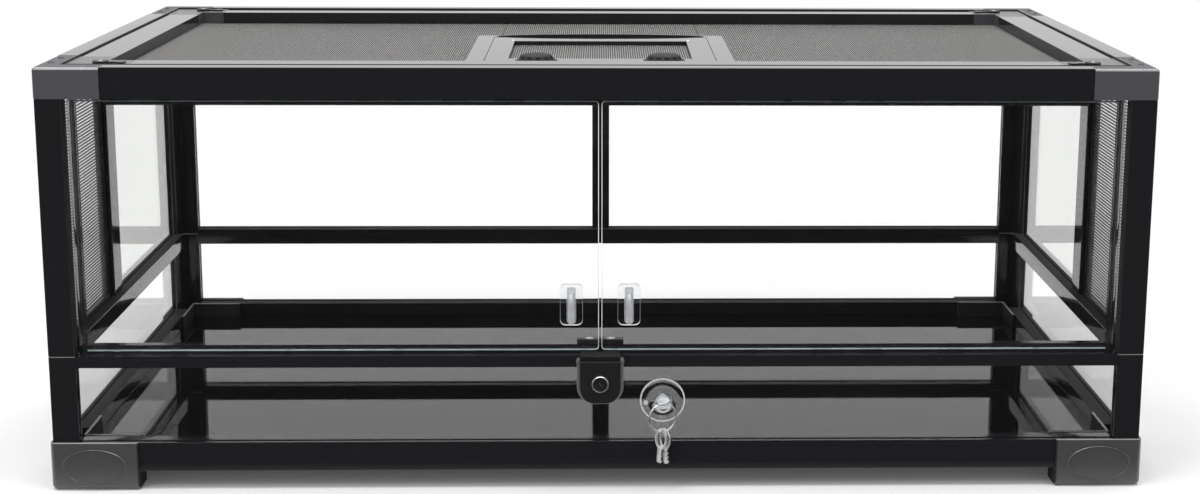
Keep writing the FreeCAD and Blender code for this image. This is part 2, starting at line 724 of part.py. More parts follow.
# Lock housing with a pocket for the bolt, inside a clear bezel
block = shield("lock_block", "lock_width", "lock_height", "lock_depth", "lock_round")
pocket_wall = from_end("front", f"{BOLT_NEAR} - bolt_play", f"{BOLT_FAR} + bolt_play")
pocket_rise = (f"{LOCK_TOP} - bolt_length - bolt_play", f"{LOCK_TOP} + bolt_length")
pocket = box("lock_pocket", centred("bolt_width + 2 * bolt_play"), pocket_wall, pocket_rise)
bore_start = from_end("front", "-lock_depth", "0")[0]
bore_radius = "cylinder_radius + pin_play"
bore = rod("lock_bore", bore_radius, "cylinder_seat", "0", bore_start, CYLINDER_LEVEL, TO_BACK)
keep(cut("lock_housing", block, pocket, bore), "lock_housing")
rim_height = "lock_height + bezel_wall"
rim = shield("lock_rim", "lock_width + 2 * bezel_wall", rim_height, "bezel_depth", "lock_round + bezel_wall")
keep(cut("lock_bezel", rim, block), "lock_bezel")

# Lock cylinder with a keyway and a cam pin, a quarter turn wide
cam_offset = "bolt_travel / 2"
face = from_end("front", "-lock_reach", "0")[0]
plug_length = "lock_reach - lock_depth + cylinder_seat"
plug = rod("cylinder_plug", "cylinder_radius", plug_length, "0", face, CYLINDER_LEVEL, TO_BACK)
cam_start = from_end("front", "cylinder_seat - lock_depth", "0")[0]
cam_level = f"{CYLINDER_LEVEL} - {cam_offset}"
cam_length = "bolt_thickness + bolt_play"
cam_pin = rod("cylinder_cam_pin", "cam_pin_radius", cam_length, cam_offset, cam_start, cam_level, TO_BACK)
keyway_rise = (f"{CYLINDER_LEVEL} - keyway_height / 2", f"{CYLINDER_LEVEL} + keyway_height / 2")
keyway_wall = from_end("front", "-lock_reach", "keyway_depth - lock_reach")
keyway = box("cylinder_keyway", centred("keyway_width"), keyway_wall, keyway_rise)
keep(cut("lock_cylinder", fuse("cylinder_body", plug, cam_pin), keyway), "lock_cylinder")

# Bolt: a plate in the housing and a head that lies on the ledge, under the doors' edges
bolt_wall = from_end("front", BOLT_NEAR, BOLT_FAR)
bolt_top = f"{DOOR_BOTTOM} - bolt_play"
blade = box("bolt_blade", centred("bolt_width"), bolt_wall, (f"{LOCK_TOP} - bolt_length", bolt_top))
brow_wall = from_end("front", BOLT_NEAR, "-bolt_play")
brow = box("bolt_brow", centred("lock_width"), brow_wall, (f"{LOCK_TOP} + bolt_play", bolt_top))
head_wall = from_end("front", BOLT_NEAR, "door_inset - door_gap")
head = box("bolt_head", centred("lock_width"), head_wall, ("ledge_level + bolt_play", bolt_top))
slot_half = "cam_pin_radius + cam_play"
slot_rise = (f"{cam_level} - ({slot_half})", f"{cam_level} + {slot_half}")
slot_width = "2 * (bolt_travel + cam_pin_radius)"
slot = box("bolt_slot", centred(slot_width), bolt_wall, slot_rise)
keep(cut("lock_bolt", fuse("bolt_shape", blade, brow, head), slot), "lock_bolt")

# Suction cup on the lower front pane, with an eye through its nub
profile = [
    ("0", "cup_hollow"),
    ("cup_radius - cup_seat", "0"),
    ("cup_radius", "0"),
    ("cup_radius", "cup_edge"),
    ("nub_radius", "cup_height"),
    ("nub_radius", "nub_reach"),
    ("0", "nub_reach"),
]
glass_face = from_end("front", "glass_inset", "glass_inset")[0]
ring_y = from_end("front", RING_OUT, RING_OUT)[0]
disc = turned("cup_disc", profile)
place(disc, "cup_offset", glass_face, "cup_level", FreeCAD.Rotation(Z_AXIS, HALF_TURN))
ring_turn = FreeCAD.Rotation(Z_AXIS, size("ring_yaw"))
eye = rod("cup_eye", "eye_radius", "4 * nub_radius", "0", "0", "0")
eye.Placement.Rotation = ring_turn * TO_RIGHT
along = math.cos(math.radians(size("ring_yaw")))
aside = math.sin(math.radians(size("ring_yaw")))
bind(eye, "Placement.Base.x", f"cup_offset - {along} * 2 * nub_radius")
bind(eye, "Placement.Base.y", f"{ring_y} - {aside} * 2 * nub_radius")
bind(eye, "Placement.Base.z", RING_TOP)
keep(cut("suction_cup", disc, eye), "suction_cup")

# Ring through the eye
ring = doc.addObject("Part::Torus", "key_ring")
bind(ring, "Radius1", "ring_radius")
bind(ring, "Radius2", "ring_wire")
keep(place(ring, "cup_offset", ring_y, f"{RING_TOP} - ring_radius", ring_turn * TO_FRONT), "key_ring")


def key(name, fan, shift):
    """A flat key hanging from the ring by the hole in its bow, fanned about that hole."""
    half = "key_thickness / 2"
    bow = rod(f"{name}_bow", "bow_radius", "key_thickness", "0", f"-{half}", "-bow_drop", TO_BACK)
    blade_rise = ("-(bow_drop + bow_radius + blade_length)", "-bow_drop")
    blade = box(f"{name}_blade", centred("blade_width"), (f"-{half}", half), blade_rise)
    tools = [rod(f"{name}_hole", "bow_hole", "3 * key_thickness", "0", "-1.5 * key_thickness", "0", TO_BACK)]
    for step in range(1, int(size("bit_count")) + 1):
        low = f"{blade_rise[0]} + {step} * bit_pitch"
        reach = ("blade_width / 2 - bit_depth", "blade_width")
        tools.append(box(f"{name}_bit_{step}", reach, (f"-{half}", half), (low, f"{low} + bit_pitch / 2")))
    shape = cut(name, fuse(f"{name}_blank", bow, blade), *tools)
    yaw = size("key_yaw")
    turn = FreeCAD.Rotation(Z_AXIS, yaw) * FreeCAD.Rotation(FreeCAD.Vector(0, 1, 0), fan)
    x = f"cup_offset - {math.sin(math.radians(yaw))} * ({shift})"
    y = f"{ring_y} + {math.cos(math.radians(yaw))} * ({shift})"
    hang = f"{RING_TOP} - 2 * ring_radius + bow_hole - ring_wire - face_play - edge_play"
    return place(shape, x, y, hang, turn)


# Two keys side by side on the ring
half_step = "(key_thickness + key_gap) / 2"
front_key = key("front_key", size("key_fan") / 2, f"-{half_step}")
back_key = key("back_key", -size("key_fan") / 2, half_step)
keep_group("keys", [front_key, back_key])

# Lid rails, grooved for the lid screen
lid_rise = (LID_SEAT, LID_TOP)
screen_groove_rise = (SCREEN, f"{SCREEN} + screen_thickness + face_play")
screen_groove_near = f"{LID_INNER} - groove_depth"
screen_groove_far = f"{LID_INNER} + groove_depth"
rails = []
for end in ENDS:
    name = f"lid_rail_{end}"
    run = across(f"{LID_EDGE} + lid_corner_length")
    bar = box(f"{name}_bar", run, from_end(end, LID_EDGE, LID_INNER), lid_rise)
    groove = from_end(end, screen_groove_near, screen_groove_far)
    rails.append(cut(name, bar, box(f"{name}_groove", run, groove, screen_groove_rise)))
for hand in HANDS:
    name = f"lid_rail_{hand}"
    corner_end = f"{LID_EDGE} + lid_corner_length"
    run = through(corner_end, corner_end)
    bar = box(f"{name}_bar", from_side(hand, LID_EDGE, LID_INNER), run, lid_rise)
    groove = from_side(hand, screen_groove_near, screen_groove_far)
    rails.append(cut(name, bar, box(f"{name}_groove", groove, run, screen_groove_rise)))
keep_group("lid_rails", rails)

# Lid corners, each with a well and a swept pocket for its turn lock
POCKET_STARTS = {("front", "left"): 180, ("front", "right"): 270, ("back", "left"): 90, ("back", "right"): 0}
lid_corners = []
for end, hand in CORNERS:
    name = f"lid_corner_{end}_{hand}"
    corner_far = f"{LID_EDGE} + lid_corner_length"
    run = from_side(hand, LID_EDGE, corner_far)
    arm_u = box(f"{name}_arm_u", run, from_end(end, LID_EDGE, LID_INNER), lid_rise)
    run = from_end(end, LID_EDGE, corner_far)
    arm_v = box(f"{name}_arm_v", from_side(hand, LID_EDGE, LID_INNER), run, lid_rise)
    groove_run = from_side(hand, screen_groove_near, f"{corner_far} + groove_depth")
    groove = from_end(end, screen_groove_near, screen_groove_far)
    groove_u = box(f"{name}_groove_u", groove_run, groove, screen_groove_rise)
    groove_run = from_end(end, screen_groove_near, f"{corner_far} + groove_depth")
    groove = from_side(hand, screen_groove_near, screen_groove_far)
    groove_v = box(f"{name}_groove_v", groove, groove_run, screen_groove_rise)
    x = from_side(hand, TURN_SIDE, TURN_SIDE)[0]
    y = from_end(end, TURN_END, TURN_END)[0]
    well = rod(f"{name}_well", "turn_radius + turn_play", "lid_thickness", x, y, TONGUE_BOTTOM)
    pocket_height = "tongue_thickness + turn_play"
    sweep_start = FreeCAD.Rotation(Z_AXIS, POCKET_STARTS[end, hand])
    pocket_radius = "tongue_length + turn_play"
    sector = [f"{name}_sector", pocket_radius, pocket_height, x, y, TONGUE_BOTTOM, sweep_start, QUARTER_TURN]
    sector = rod(*sector)
    pocket_rise = (TONGUE_BOTTOM, f"{TONGUE_BOTTOM} + {pocket_height}")
    half = "tongue_width / 2 + turn_play"
    side_run = from_side(hand, f"{TURN_SIDE} - tongue_length - turn_play", TURN_SIDE)
    rest_pocket = from_end(end, f"{TURN_END} - ({half})", f"{TURN_END} + {half}")
    rest_pocket = box(f"{name}_rest_pocket", side_run, rest_pocket, pocket_rise)
    locked_pocket = from_side(hand, f"{TURN_SIDE} - ({half})", f"{TURN_SIDE} + {half}")
    end_run = from_end(end, "0", TURN_END)
    locked_pocket = box(f"{name}_locked_pocket", locked_pocket, end_run, pocket_rise)
    elbow_shape = fuse(f"{name}_elbow", arm_u, arm_v)
    lid_corners.append(cut(name, elbow_shape, groove_u, groove_v, well, sector, rest_pocket, locked_pocket))
keep_group("lid_corners", lid_corners)

# Turn locks: a slotted button over a tongue that points along the rim until it is turned
for end, hand in CORNERS:
    name = f"lid_lock_{end}_{hand}"
    x = from_side(hand, TURN_SIDE, TURN_SIDE)[0]
    y = from_end(end, TURN_END, TURN_END)[0]
    rise = f"{LID_TOP} + turn_proud - ({TONGUE_BOTTOM})"
    button = rod(f"{name}_button", "turn_radius", rise, x, y, TONGUE_BOTTOM)
    run = from_side(hand, f"{TURN_SIDE} - tongue_length", TURN_SIDE)
    tongue_wall = from_end(end, f"{TURN_END} - tongue_width / 2", f"{TURN_END} + tongue_width / 2")
    tongue = box(f"{name}_tongue", run, tongue_wall, (TONGUE_BOTTOM, f"{TONGUE_BOTTOM} + tongue_thickness"))
    button_top = f"{LID_TOP} + turn_proud"
    slot_run = from_side(hand, f"{TURN_SIDE} - turn_radius", f"{TURN_SIDE} + turn_radius")
    slot_wall = from_end(end, f"{TURN_END} - turn_slot_width / 2", f"{TURN_END} + turn_slot_width / 2")
    slot = box(f"{name}_slot", slot_run, slot_wall, (f"{button_top} - turn_slot_depth", button_top))
    keep(cut(name, fuse(f"{name}_shape", button, tongue), slot), name)

# Lid screen, open under the hatch
screen_edge = f"{LID_INNER} - groove_depth + edge_play"
screen_rise = (SCREEN, f"{SCREEN} + screen_thickness")
sheet = box("lid_screen_sheet", across(screen_edge), through(screen_edge, screen_edge), screen_rise)
well_width = "hatch_width + 2 * hatch_play - 2 * surround_lip"
lip_front = f"{HATCH_FRONT} - hatch_play + surround_lip"
lip_back = f"{HATCH_BACK} + hatch_play - surround_lip"
opening = box("lid_screen_opening", centred(well_width), from_end("front", lip_front, lip_back), screen_rise)
keep(cut("lid_screen", sheet, opening), "lid_screen")

# Hatch surround: a frame on the screen with a lip under the hatch and a hole for each hinge pin
surround_width = "hatch_width + 2 * (hatch_play + surround_side)"
surround_run = from_end("front", LID_INNER, f"{HATCH_BACK} + hatch_play + surround_back")
slab = box("hatch_surround_slab", centred(surround_width), surround_run, (SURROUND_BOTTOM, HATCH_TOP))
bay_run = from_end("front", f"{HATCH_FRONT} - hatch_play", f"{HATCH_BACK} + hatch_play")
bay_rise = (f"{SURROUND_BOTTOM} + lip_thickness", f"{HATCH_TOP} + hatch_thickness")
bay = box("hatch_surround_bay", centred("hatch_width + 2 * hatch_play"), bay_run, bay_rise)
well_run = from_end("front", lip_front, lip_back)
well = box("hatch_surround_well", centred(well_width), well_run, (SURROUND_BOTTOM, HATCH_TOP))
pivot_y = from_end("front", HATCH_PIVOT, HATCH_PIVOT)[0]
pivot_z = f"{HATCH_BOTTOM} + hatch_thickness / 2"
hole_length = "hatch_width + 2 * (hatch_pin_length + edge_play)"
hole_start = f"-({hole_length}) / 2"
pin_hole = "hatch_pin_radius + pin_play"
hole = rod("hatch_surround_hole", pin_hole, hole_length, hole_start, pivot_y, pivot_z, TO_RIGHT)
keep(cut("hatch_surround", slab, bay, well, hole), "hatch_surround")

# Hatch door: a frame with a round back edge, a pin at each side and a rebate for its screen
leaf_run = from_end("front", HATCH_FRONT, HATCH_PIVOT)
leaf = box("hatch_leaf", centred("hatch_width"), leaf_run, (HATCH_BOTTOM, HATCH_TOP))
nose = rod("hatch_nose", "hatch_thickness / 2", "hatch_width", "-hatch_width / 2", pivot_y, pivot_z, TO_RIGHT)
pin_length = "hatch_width + 2 * hatch_pin_length"
pin = rod("hatch_pin", "hatch_pin_radius", pin_length, f"-({pin_length}) / 2", pivot_y, pivot_z, TO_RIGHT)
window_width = "hatch_width - 2 * window_side"
window_near = f"{HATCH_FRONT} + window_front"
window_far = f"{HATCH_BACK} - window_back"
window_run = from_end("front", window_near, window_far)
window = box("hatch_window", centred(window_width), window_run, (HATCH_BOTTOM, HATCH_TOP))
rebate_run = from_end("front", f"{window_near} - screen_bite", f"{window_far} + screen_bite")
rebate_width = f"{window_width} + 2 * screen_bite"
rebate_rise = (HATCH_BOTTOM, f"{HATCH_BOTTOM} + screen_thickness")
rebate = box("hatch_rebate", centred(rebate_width), rebate_run, rebate_rise)
bores = []
knob_y = from_end("front", f"{HATCH_FRONT} + knob_setback", "0")[0]
for hand in HANDS:
    x = f"-({KNOB_OFFSET})" if hand == "left" else KNOB_OFFSET
    bore_radius = "knob_shaft_radius + pin_play"
    bores.append(rod(f"hatch_bore_{hand}", bore_radius, "hatch_thickness", x, knob_y, HATCH_BOTTOM))
keep(cut("hatch_door", fuse("hatch_frame", leaf, nose, pin), window, rebate, *bores), "hatch_door")
mesh_play = "screen_bite - face_play"
mesh_run = from_end("front", f"{window_near} - ({mesh_play})", f"{window_far} + {mesh_play}")
mesh_width = f"{window_width} + 2 * ({mesh_play})"
keep(box("hatch_screen", centred(mesh_width), mesh_run, rebate_rise), "hatch_screen")

# Hatch knobs: a domed grip, a shaft through the hatch and a tongue that turns under the surround
tongue_top = f"{SCREEN} - knob_tongue_gap"
tongue_rise = (f"{tongue_top} - knob_tongue_thickness", tongue_top)
for hand in HANDS:
    name = f"hatch_knob_{hand}"
    profile = [
        ("0", "0"),
        ("knob_skirt_radius", "0"),
        ("knob_skirt_radius", "knob_skirt_height"),
        ("knob_radius", "2 * knob_skirt_height"),
        ("knob_crown_radius", "knob_height"),
        ("0", "knob_height"),
    ]
    x = f"-({KNOB_OFFSET})" if hand == "left" else KNOB_OFFSET
    grip = place(turned(f"{name}_grip", profile), x, knob_y, f"{HATCH_TOP} + knob_lift", TO_FRONT)
    shaft_length = f"{HATCH_TOP} + 2 * knob_lift - ({tongue_rise[0]})"
    shaft = rod(f"{name}_shaft", "knob_shaft_radius", shaft_length, x, knob_y, tongue_rise[0])
    centre = f"width / 2 - ({KNOB_OFFSET})"
    run = from_side(hand, f"{centre} - knob_shaft_radius", f"{centre} + knob_tongue_length")
    half = "knob_tongue_width / 2"
    tongue_wall = (f"{knob_y} - {half}", f"{knob_y} + {half}")
    keep(fuse(name, grip, shaft, box(f"{name}_tongue", run, tongue_wall, tongue_rise)), name)

# Every object is sound before anything is written
doc.recompute()
for obj in doc.Objects:
    if "Invalid" in obj.State or "Error" in obj.State:
        raise RuntimeError(f"{obj.Name} failed: {obj.State}")
for name, obj in nodes.items():
    if obj.Shape.isNull() or not obj.Shape.isValid() or not obj.Shape.Solids:
        raise RuntimeError(f"{name} has no sound solid")
for name, obj in nodes.items():
    solids = obj.Shape.Solids
    shape = solids[0] if len(solids) == 1 else Part.makeCompound(solids)
    shape.exportStep(f"parts/{name}.step")
print(f"{len(nodes)} sub-parts")
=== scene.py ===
# %% [markdown]
# # A low glass terrarium
#
# This lesson dresses a glass terrarium: black rails, glass walls, two hinged glass doors, vents in the
# sides, a screen lid with a feeding hatch, and a small lock with its keys. The working parts come from the
# imported model, so every piece here takes its place from them. What this file adds is what the eye looks
# for: eased edges that catch the light, with a painted highlight on those that look upward, glass with
# green edges, real wire in the screens with painted light and shade on the weave, screws, and a studio to
# see it all in.

# %% Load the model
import json
import math

import bpy
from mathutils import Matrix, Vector


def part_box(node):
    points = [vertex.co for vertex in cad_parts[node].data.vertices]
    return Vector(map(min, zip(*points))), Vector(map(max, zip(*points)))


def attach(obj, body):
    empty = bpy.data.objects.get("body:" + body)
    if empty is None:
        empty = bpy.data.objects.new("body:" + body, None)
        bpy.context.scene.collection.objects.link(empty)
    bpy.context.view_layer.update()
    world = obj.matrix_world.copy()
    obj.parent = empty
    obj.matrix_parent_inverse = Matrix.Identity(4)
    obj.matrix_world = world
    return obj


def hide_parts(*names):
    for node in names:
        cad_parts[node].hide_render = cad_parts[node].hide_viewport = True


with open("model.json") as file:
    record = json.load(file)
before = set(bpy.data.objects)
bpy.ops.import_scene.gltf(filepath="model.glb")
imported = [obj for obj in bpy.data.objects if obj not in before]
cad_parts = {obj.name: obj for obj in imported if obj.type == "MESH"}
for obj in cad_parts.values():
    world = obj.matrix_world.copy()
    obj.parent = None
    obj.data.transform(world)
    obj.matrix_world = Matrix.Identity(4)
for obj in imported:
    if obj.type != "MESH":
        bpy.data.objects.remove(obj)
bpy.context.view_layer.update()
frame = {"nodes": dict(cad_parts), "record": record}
record = frame["record"]
body_of = {node: body for body, members in record["behaviour"]["bodies"].items() for node in members}
MM = 0.001
X, Y, Z = range(3)
HANDS = ("left", "right")
CORNERS = ("front_left", "front_right", "back_left", "back_right")
SQUARE_ON = 0.9

# %% [markdown]
# ## The camera
#
# The camera stands a little above the lid and looks down by about ten degrees, a touch to the right.
# Upright edges stay nearly parallel in the picture, which a plain camera can't do while it looks down, so
# the lens is shifted: the picture is cut from the lower left of what the lens sees. The numbers come from
# matching the frame's corners.

# %% Camera
PHOTO_WIDTH = 1200
PHOTO_HEIGHT = 494
SENSOR_WIDTH = 36
FOCAL_PIXELS = 1820
AXIS_COLUMN = 650
AXIS_ROW = 147
LOOK_DOWN = 10.56
LOOK_ASIDE = -1.53
LEAN = 0.305
STAND = Vector((0.0016, -1.6832, 0.5655))

look = (math.radians(90 - LOOK_DOWN), 0, math.radians(LOOK_ASIDE))
bpy.ops.object.camera_add(location=STAND, rotation=look)
camera = bpy.context.object
camera.rotation_euler.rotate_axis("Z", math.radians(LEAN))
camera.data.sensor_width = SENSOR_WIDTH
camera.data.lens = FOCAL_PIXELS / PHOTO_WIDTH * SENSOR_WIDTH
camera.data.shift_x = (PHOTO_WIDTH / 2 - AXIS_COLUMN) / PHOTO_WIDTH
camera.data.shift_y = (AXIS_ROW - PHOTO_HEIGHT / 2) / PHOTO_WIDTH
bpy.context.scene.camera = camera
print(f"lens {camera.data.lens:.1f} mm, shift {camera.data.shift_x:.3f} {camera.data.shift_y:.3f}")

# %% [markdown]
# ## Ways of working
#
# A few small helpers keep the later cells short. Operators act on whatever is selected, so each helper
# first selects one piece alone. Faces and edges are chosen by where they are and which way they face, as
# one would choose them by eye.


# %% Selecting, applying and placing
def take_up(piece):
    """Selects one piece alone, in object mode."""
    if bpy.context.object and bpy.context.object.mode != "OBJECT":
        bpy.ops.object.mode_set(mode="OBJECT")
    bpy.ops.object.select_all(action="DESELECT")
    piece.select_set(True)
    bpy.context.view_layer.objects.active = piece


def settle(piece):
    """Puts a piece's place, turn and scale into its mesh."""
    take_up(piece)
    bpy.ops.object.transform_apply(location=True, rotation=True, scale=True)


def start(name, add, scale=(1, 1, 1), **settings):
    """Adds a primitive as the start of a piece."""
    bpy.ops.object.select_all(action="DESELECT")
    add(**settings)
    piece = bpy.context.object
    piece.name = name
    piece.scale = scale
    settle(piece)
    return piece


def apply_modifier(piece, kind, **settings):
    """Adds a modifier, sets it up and applies it."""
    take_up(piece)
    modifier = piece.modifiers.new(kind.title(), kind)
    for name, value in settings.items():
        setattr(modifier, name, value)
    bpy.ops.object.modifier_apply(modifier=modifier.name)


def edit_all(piece):
    """Goes to edit mode with everything selected."""
    take_up(piece)
    bpy.ops.object.mode_set(mode="EDIT")
    bpy.ops.mesh.select_all(action="SELECT")


def pick(piece, kind, test):
    """Goes to edit mode with only the faces or edges that pass a test selected."""
    take_up(piece)
    bpy.ops.object.mode_set(mode="EDIT")
    bpy.ops.mesh.select_mode(type=kind)
    bpy.ops.mesh.select_all(action="DESELECT")
    bpy.ops.object.mode_set(mode="OBJECT")
    mesh = piece.data
    if kind == "FACE":
        for face in mesh.polygons:
            face.select = test(face.center, face.normal)
    else:
        for edge in mesh.edges:
            first, second = (mesh.vertices[index].co for index in edge.vertices)
            edge.select = test((first + second) / 2, (second - first).normalized())
    bpy.ops.object.mode_set(mode="EDIT")


def leave_edit():
    """Back to object mode with the normals pointing out."""
    bpy.ops.mesh.select_all(action="SELECT")
    bpy.ops.mesh.normals_make_consistent(inside=False)
    bpy.ops.object.mode_set(mode="OBJECT")


def smooth(piece, angle=35):
    """Smooth shading, with creases where faces meet at more than an angle."""
    take_up(piece)
    bpy.ops.object.shade_smooth_by_angle(angle=math.radians(angle))


def ease(piece, radius, segments=2, angle=30):
    """Rounds every edge that is sharper than an angle."""
    settings = {"width": radius, "segments": segments, "limit_method": "ANGLE"}
    apply_modifier(piece, "BEVEL", angle_limit=math.radians(angle), **settings)
    smooth(piece)
    apply_modifier(piece, "WEIGHTED_NORMAL", keep_sharp=True)


def join(pieces, name):
    """Joins pieces into the first one and names it."""
    take_up(pieces[0])
    for piece in pieces:
        piece.select_set(True)
    bpy.ops.object.join()
    pieces[0].name = name
    return pieces[0]


def dress(piece, finish):
    """Gives a piece one finish all over."""
    piece.data.materials.clear()
    piece.data.materials.append(finish)
    return piece


def repaint(piece, finish, test):
    """Gives one more finish to the faces that pass a test."""
    piece.data.materials.append(finish)
    for face in piece.data.polygons:
        if test(face.center, face.normal):
            face.material_index = len(piece.data.materials) - 1


def stand_for(piece, *nodes):
    """Lets a piece take the place of nodes of the model: it moves with their body, and the nodes are hidden.
    """
    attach(piece, body_of[nodes[0]])
    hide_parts(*nodes)
    return piece


def add_to(piece, node):
    """Lets a small piece ride along with a node of the model."""
    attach(piece, body_of[node])
    return piece


print("helpers ready")

# %% [markdown]
# ## Finishes
#
# Nearly everything here is black, and black things are told apart by gloss. The extruded rails are satin,
# with fine lines along their length from the die. The moulded corners and feet are greyer and grained. The
# floor panel is a black mirror. Each finish is one shader, and one noise makes its colour, gloss and bump
# vary together, as they do on a real surface.

# %% One shader, one grain
NOISE_SPAN = (0.3, 0.7)


def add_node(tree, kind, values=(), operation=None):
    """Adds a shader node and sets the sockets that are given, by name or by number."""
    node = tree.nodes.new(f"ShaderNode{kind}")
    if operation:
        node.operation = operation
    for socket, value in dict(values).items():
        node.inputs[socket].default_value = value
    return node


def add_range(tree, *ends):
    """Adds a node that takes numbers from one range, given first, to another."""
    return add_node(tree, "MapRange", zip(("From Min", "From Max", "To Min", "To Max"), ends))


def link(tree, *rows):
    """Links an output of one node to an input of another, row by row."""
    for source, output, target, entry in rows:
        tree.links.new(source.outputs[output], target.inputs[entry])


def finish_of(name, shades, gloss, scale, detail=2, height=0, **sockets):
    """A finish whose noise runs between two shades and two roughnesses, and raises the surface."""
    finish = bpy.data.materials.new(name)
    finish.use_nodes = True
    tree = finish.node_tree
    shader = tree.nodes["Principled BSDF"]
    shader.inputs["Roughness"].default_value = 0
    for socket, value in sockets.items():
        shader.inputs[socket.replace("_", " ")].default_value = value
    place = add_node(tree, "TexCoord")
    stretch = add_node(tree, "Mapping", {"Scale": scale if isinstance(scale, list) else [scale] * 3})
    noise = add_node(tree, "TexNoise", {"Scale": 1, "Detail": detail})
    link(tree, (place, "Object", stretch, "Vector"), (stretch, "Vector", noise, "Vector"))
    if shades:
        ramp = add_node(tree, "ValToRGB")
        for stop, shade, position in zip(ramp.color_ramp.elements, shades, NOISE_SPAN):
            stop.color = (*shade, 1)
            stop.position = position
        link(tree, (noise, "Fac", ramp, "Fac"), (ramp, "Color", shader, "Base Color"))
    if gloss:
        polish = add_range(tree, *NOISE_SPAN, *gloss)
        link(tree, (noise, "Fac", polish, "Value"), (polish, "Result", shader, "Roughness"))
    if height:
        bump = add_node(tree, "Bump", {"Distance": height})
        link(tree, (noise, "Fac", bump, "Height"), (bump, "Normal", shader, "Normal"))
    return finish


print("finish helpers ready")

# %% [markdown]
# The rails need three versions of one finish, because the die lines run along each rail's own length:
# along X at the front and back, along Y at the sides and along Z on the posts.

# %% Black and grey finishes
RAIL_SHADES = ((0.0125, 0.0118, 0.0138), (0.0140, 0.0132, 0.0154))
RAIL_GLOSS = (0.045, 0.075)
LINES_ALONG = 3
LINES_ACROSS = 900
LINES_HEIGHT = 0.0005 * MM


def rail_finish(axis):
    """Satin black with fine lines along one axis."""
    scale = [LINES_ACROSS] * 3
    scale[axis] = LINES_ALONG
    name = f"satin_black_along_{'xyz'[axis]}"
    return finish_of(name, RAIL_SHADES, RAIL_GLOSS, scale, detail=3, height=LINES_HEIGHT)


rail_along = [rail_finish(axis) for axis in (X, Y, Z)]

GRAIN = 1400
CORNER_SHADES = ((0.064, 0.062, 0.070), (0.084, 0.081, 0.092))
LID_CORNER_SHADES = ((0.054, 0.052, 0.058), (0.070, 0.068, 0.075))
FOOT_SHADES = ((0.052, 0.050, 0.053), (0.068, 0.066, 0.069))
PAINTED_HIGHLIGHT_SHADES = ((0.17, 0.166, 0.17), (0.27, 0.264, 0.27))
MOULDED_SHADES = ((0.010, 0.010, 0.011), (0.016, 0.016, 0.017))
FLOOR_SHADES = ((0.003, 0.003, 0.003), (0.006, 0.006, 0.006))
SOFT_SHADES = ((0.006, 0.006, 0.006), (0.012, 0.012, 0.012))
STEEL_SHADES = ((0.05, 0.05, 0.055), (0.09, 0.09, 0.095))
corner_sheen = {"Specular_IOR_Level": 0.2}
corner_grey = finish_of("corner_grey", CORNER_SHADES, (0.40, 0.55), GRAIN, height=0.06 * MM, **corner_sheen)
lid_corner_grey = finish_of("lid_corner_grey", LID_CORNER_SHADES, (0.24, 0.36), GRAIN, height=0.02 * MM)
foot_coat = {"Coat_Weight": 0.6, "Coat_Roughness": 0.12}
foot_grey = finish_of("foot_grey", FOOT_SHADES, (0.26, 0.38), GRAIN, height=0.02 * MM, **foot_coat)
painted_highlight_coat = {"Coat_Weight": 0.5, "Coat_Roughness": 0.15}
# Painted highlight: a brighter grey for rounded edges that look upward.
painted_highlight_grey = finish_of("painted_highlight_grey", PAINTED_HIGHLIGHT_SHADES, (0.2, 0.32), GRAIN, detail=3, **painted_highlight_coat)
moulded_black = finish_of("moulded_black", MOULDED_SHADES, (0.28, 0.42), GRAIN, height=0.02 * MM)
floor_mirror = finish_of("floor_mirror", FLOOR_SHADES, (0.012, 0.03), scale=6, detail=3)
soft_black = finish_of("soft_black", SOFT_SHADES, (0.65, 0.85), scale=900, height=0.01 * MM)
black_steel = finish_of("black_steel", STEEL_SHADES, (0.18, 0.32), scale=800, detail=3, Metallic=1)
print("black and grey finishes:", len(rail_along) + 8)

# %% [markdown]
# Glass is clear through its faces and green along its edges, where light has crossed the whole pane. So a
# pane has two finishes: one that lets light through, and one for the ground edge. The upper side panes get
# a darker grey copy of the clear glass, painted shade for the grey seen through them, and the edges where
# the doors meet are polished pale. Clear plastics are the same idea without the green. Nickel is a mirror
# with a little blur.

# %% Clear and bright finishes
CLEAR_SHADES = ((0.993, 0.998, 0.995), (0.997, 1.0, 0.999))
PANE_PAINTED_SHADES = ((0.73, 0.74, 0.725), (0.75, 0.76, 0.745))
GREEN_SHADES = ((0.40, 0.55, 0.53), (0.48, 0.61, 0.59))
MEETING_SHADES = ((0.86, 0.91, 0.90), (0.93, 0.96, 0.95))
ACRYLIC_SHADES = ((0.96, 0.97, 0.99), (0.98, 0.99, 1.0))
HINGE_SHADES = ((0.22, 0.22, 0.23), (0.26, 0.26, 0.27))
VINYL_SHADES = ((0.97, 0.98, 0.98), (0.97, 0.98, 0.98))
FROSTED_AND_HIGHLIGHT_SHADES = ((0.82, 0.83, 0.84), (0.90, 0.91, 0.92))
MILKY_SHADES = ((0.82, 0.84, 0.88), (0.93, 0.95, 0.98))
SMOKED_SHADES = ((0.18, 0.18, 0.19), (0.22, 0.22, 0.23))
NICKEL_SHADES = ((0.86, 0.85, 0.83), (0.96, 0.95, 0.93))


def clear_of(name, shades, gloss, scale, through, bend):
    """A clear finish that lets a share of the light through and bends it."""
    return finish_of(name, shades, gloss, scale, Transmission_Weight=through, IOR=bend)


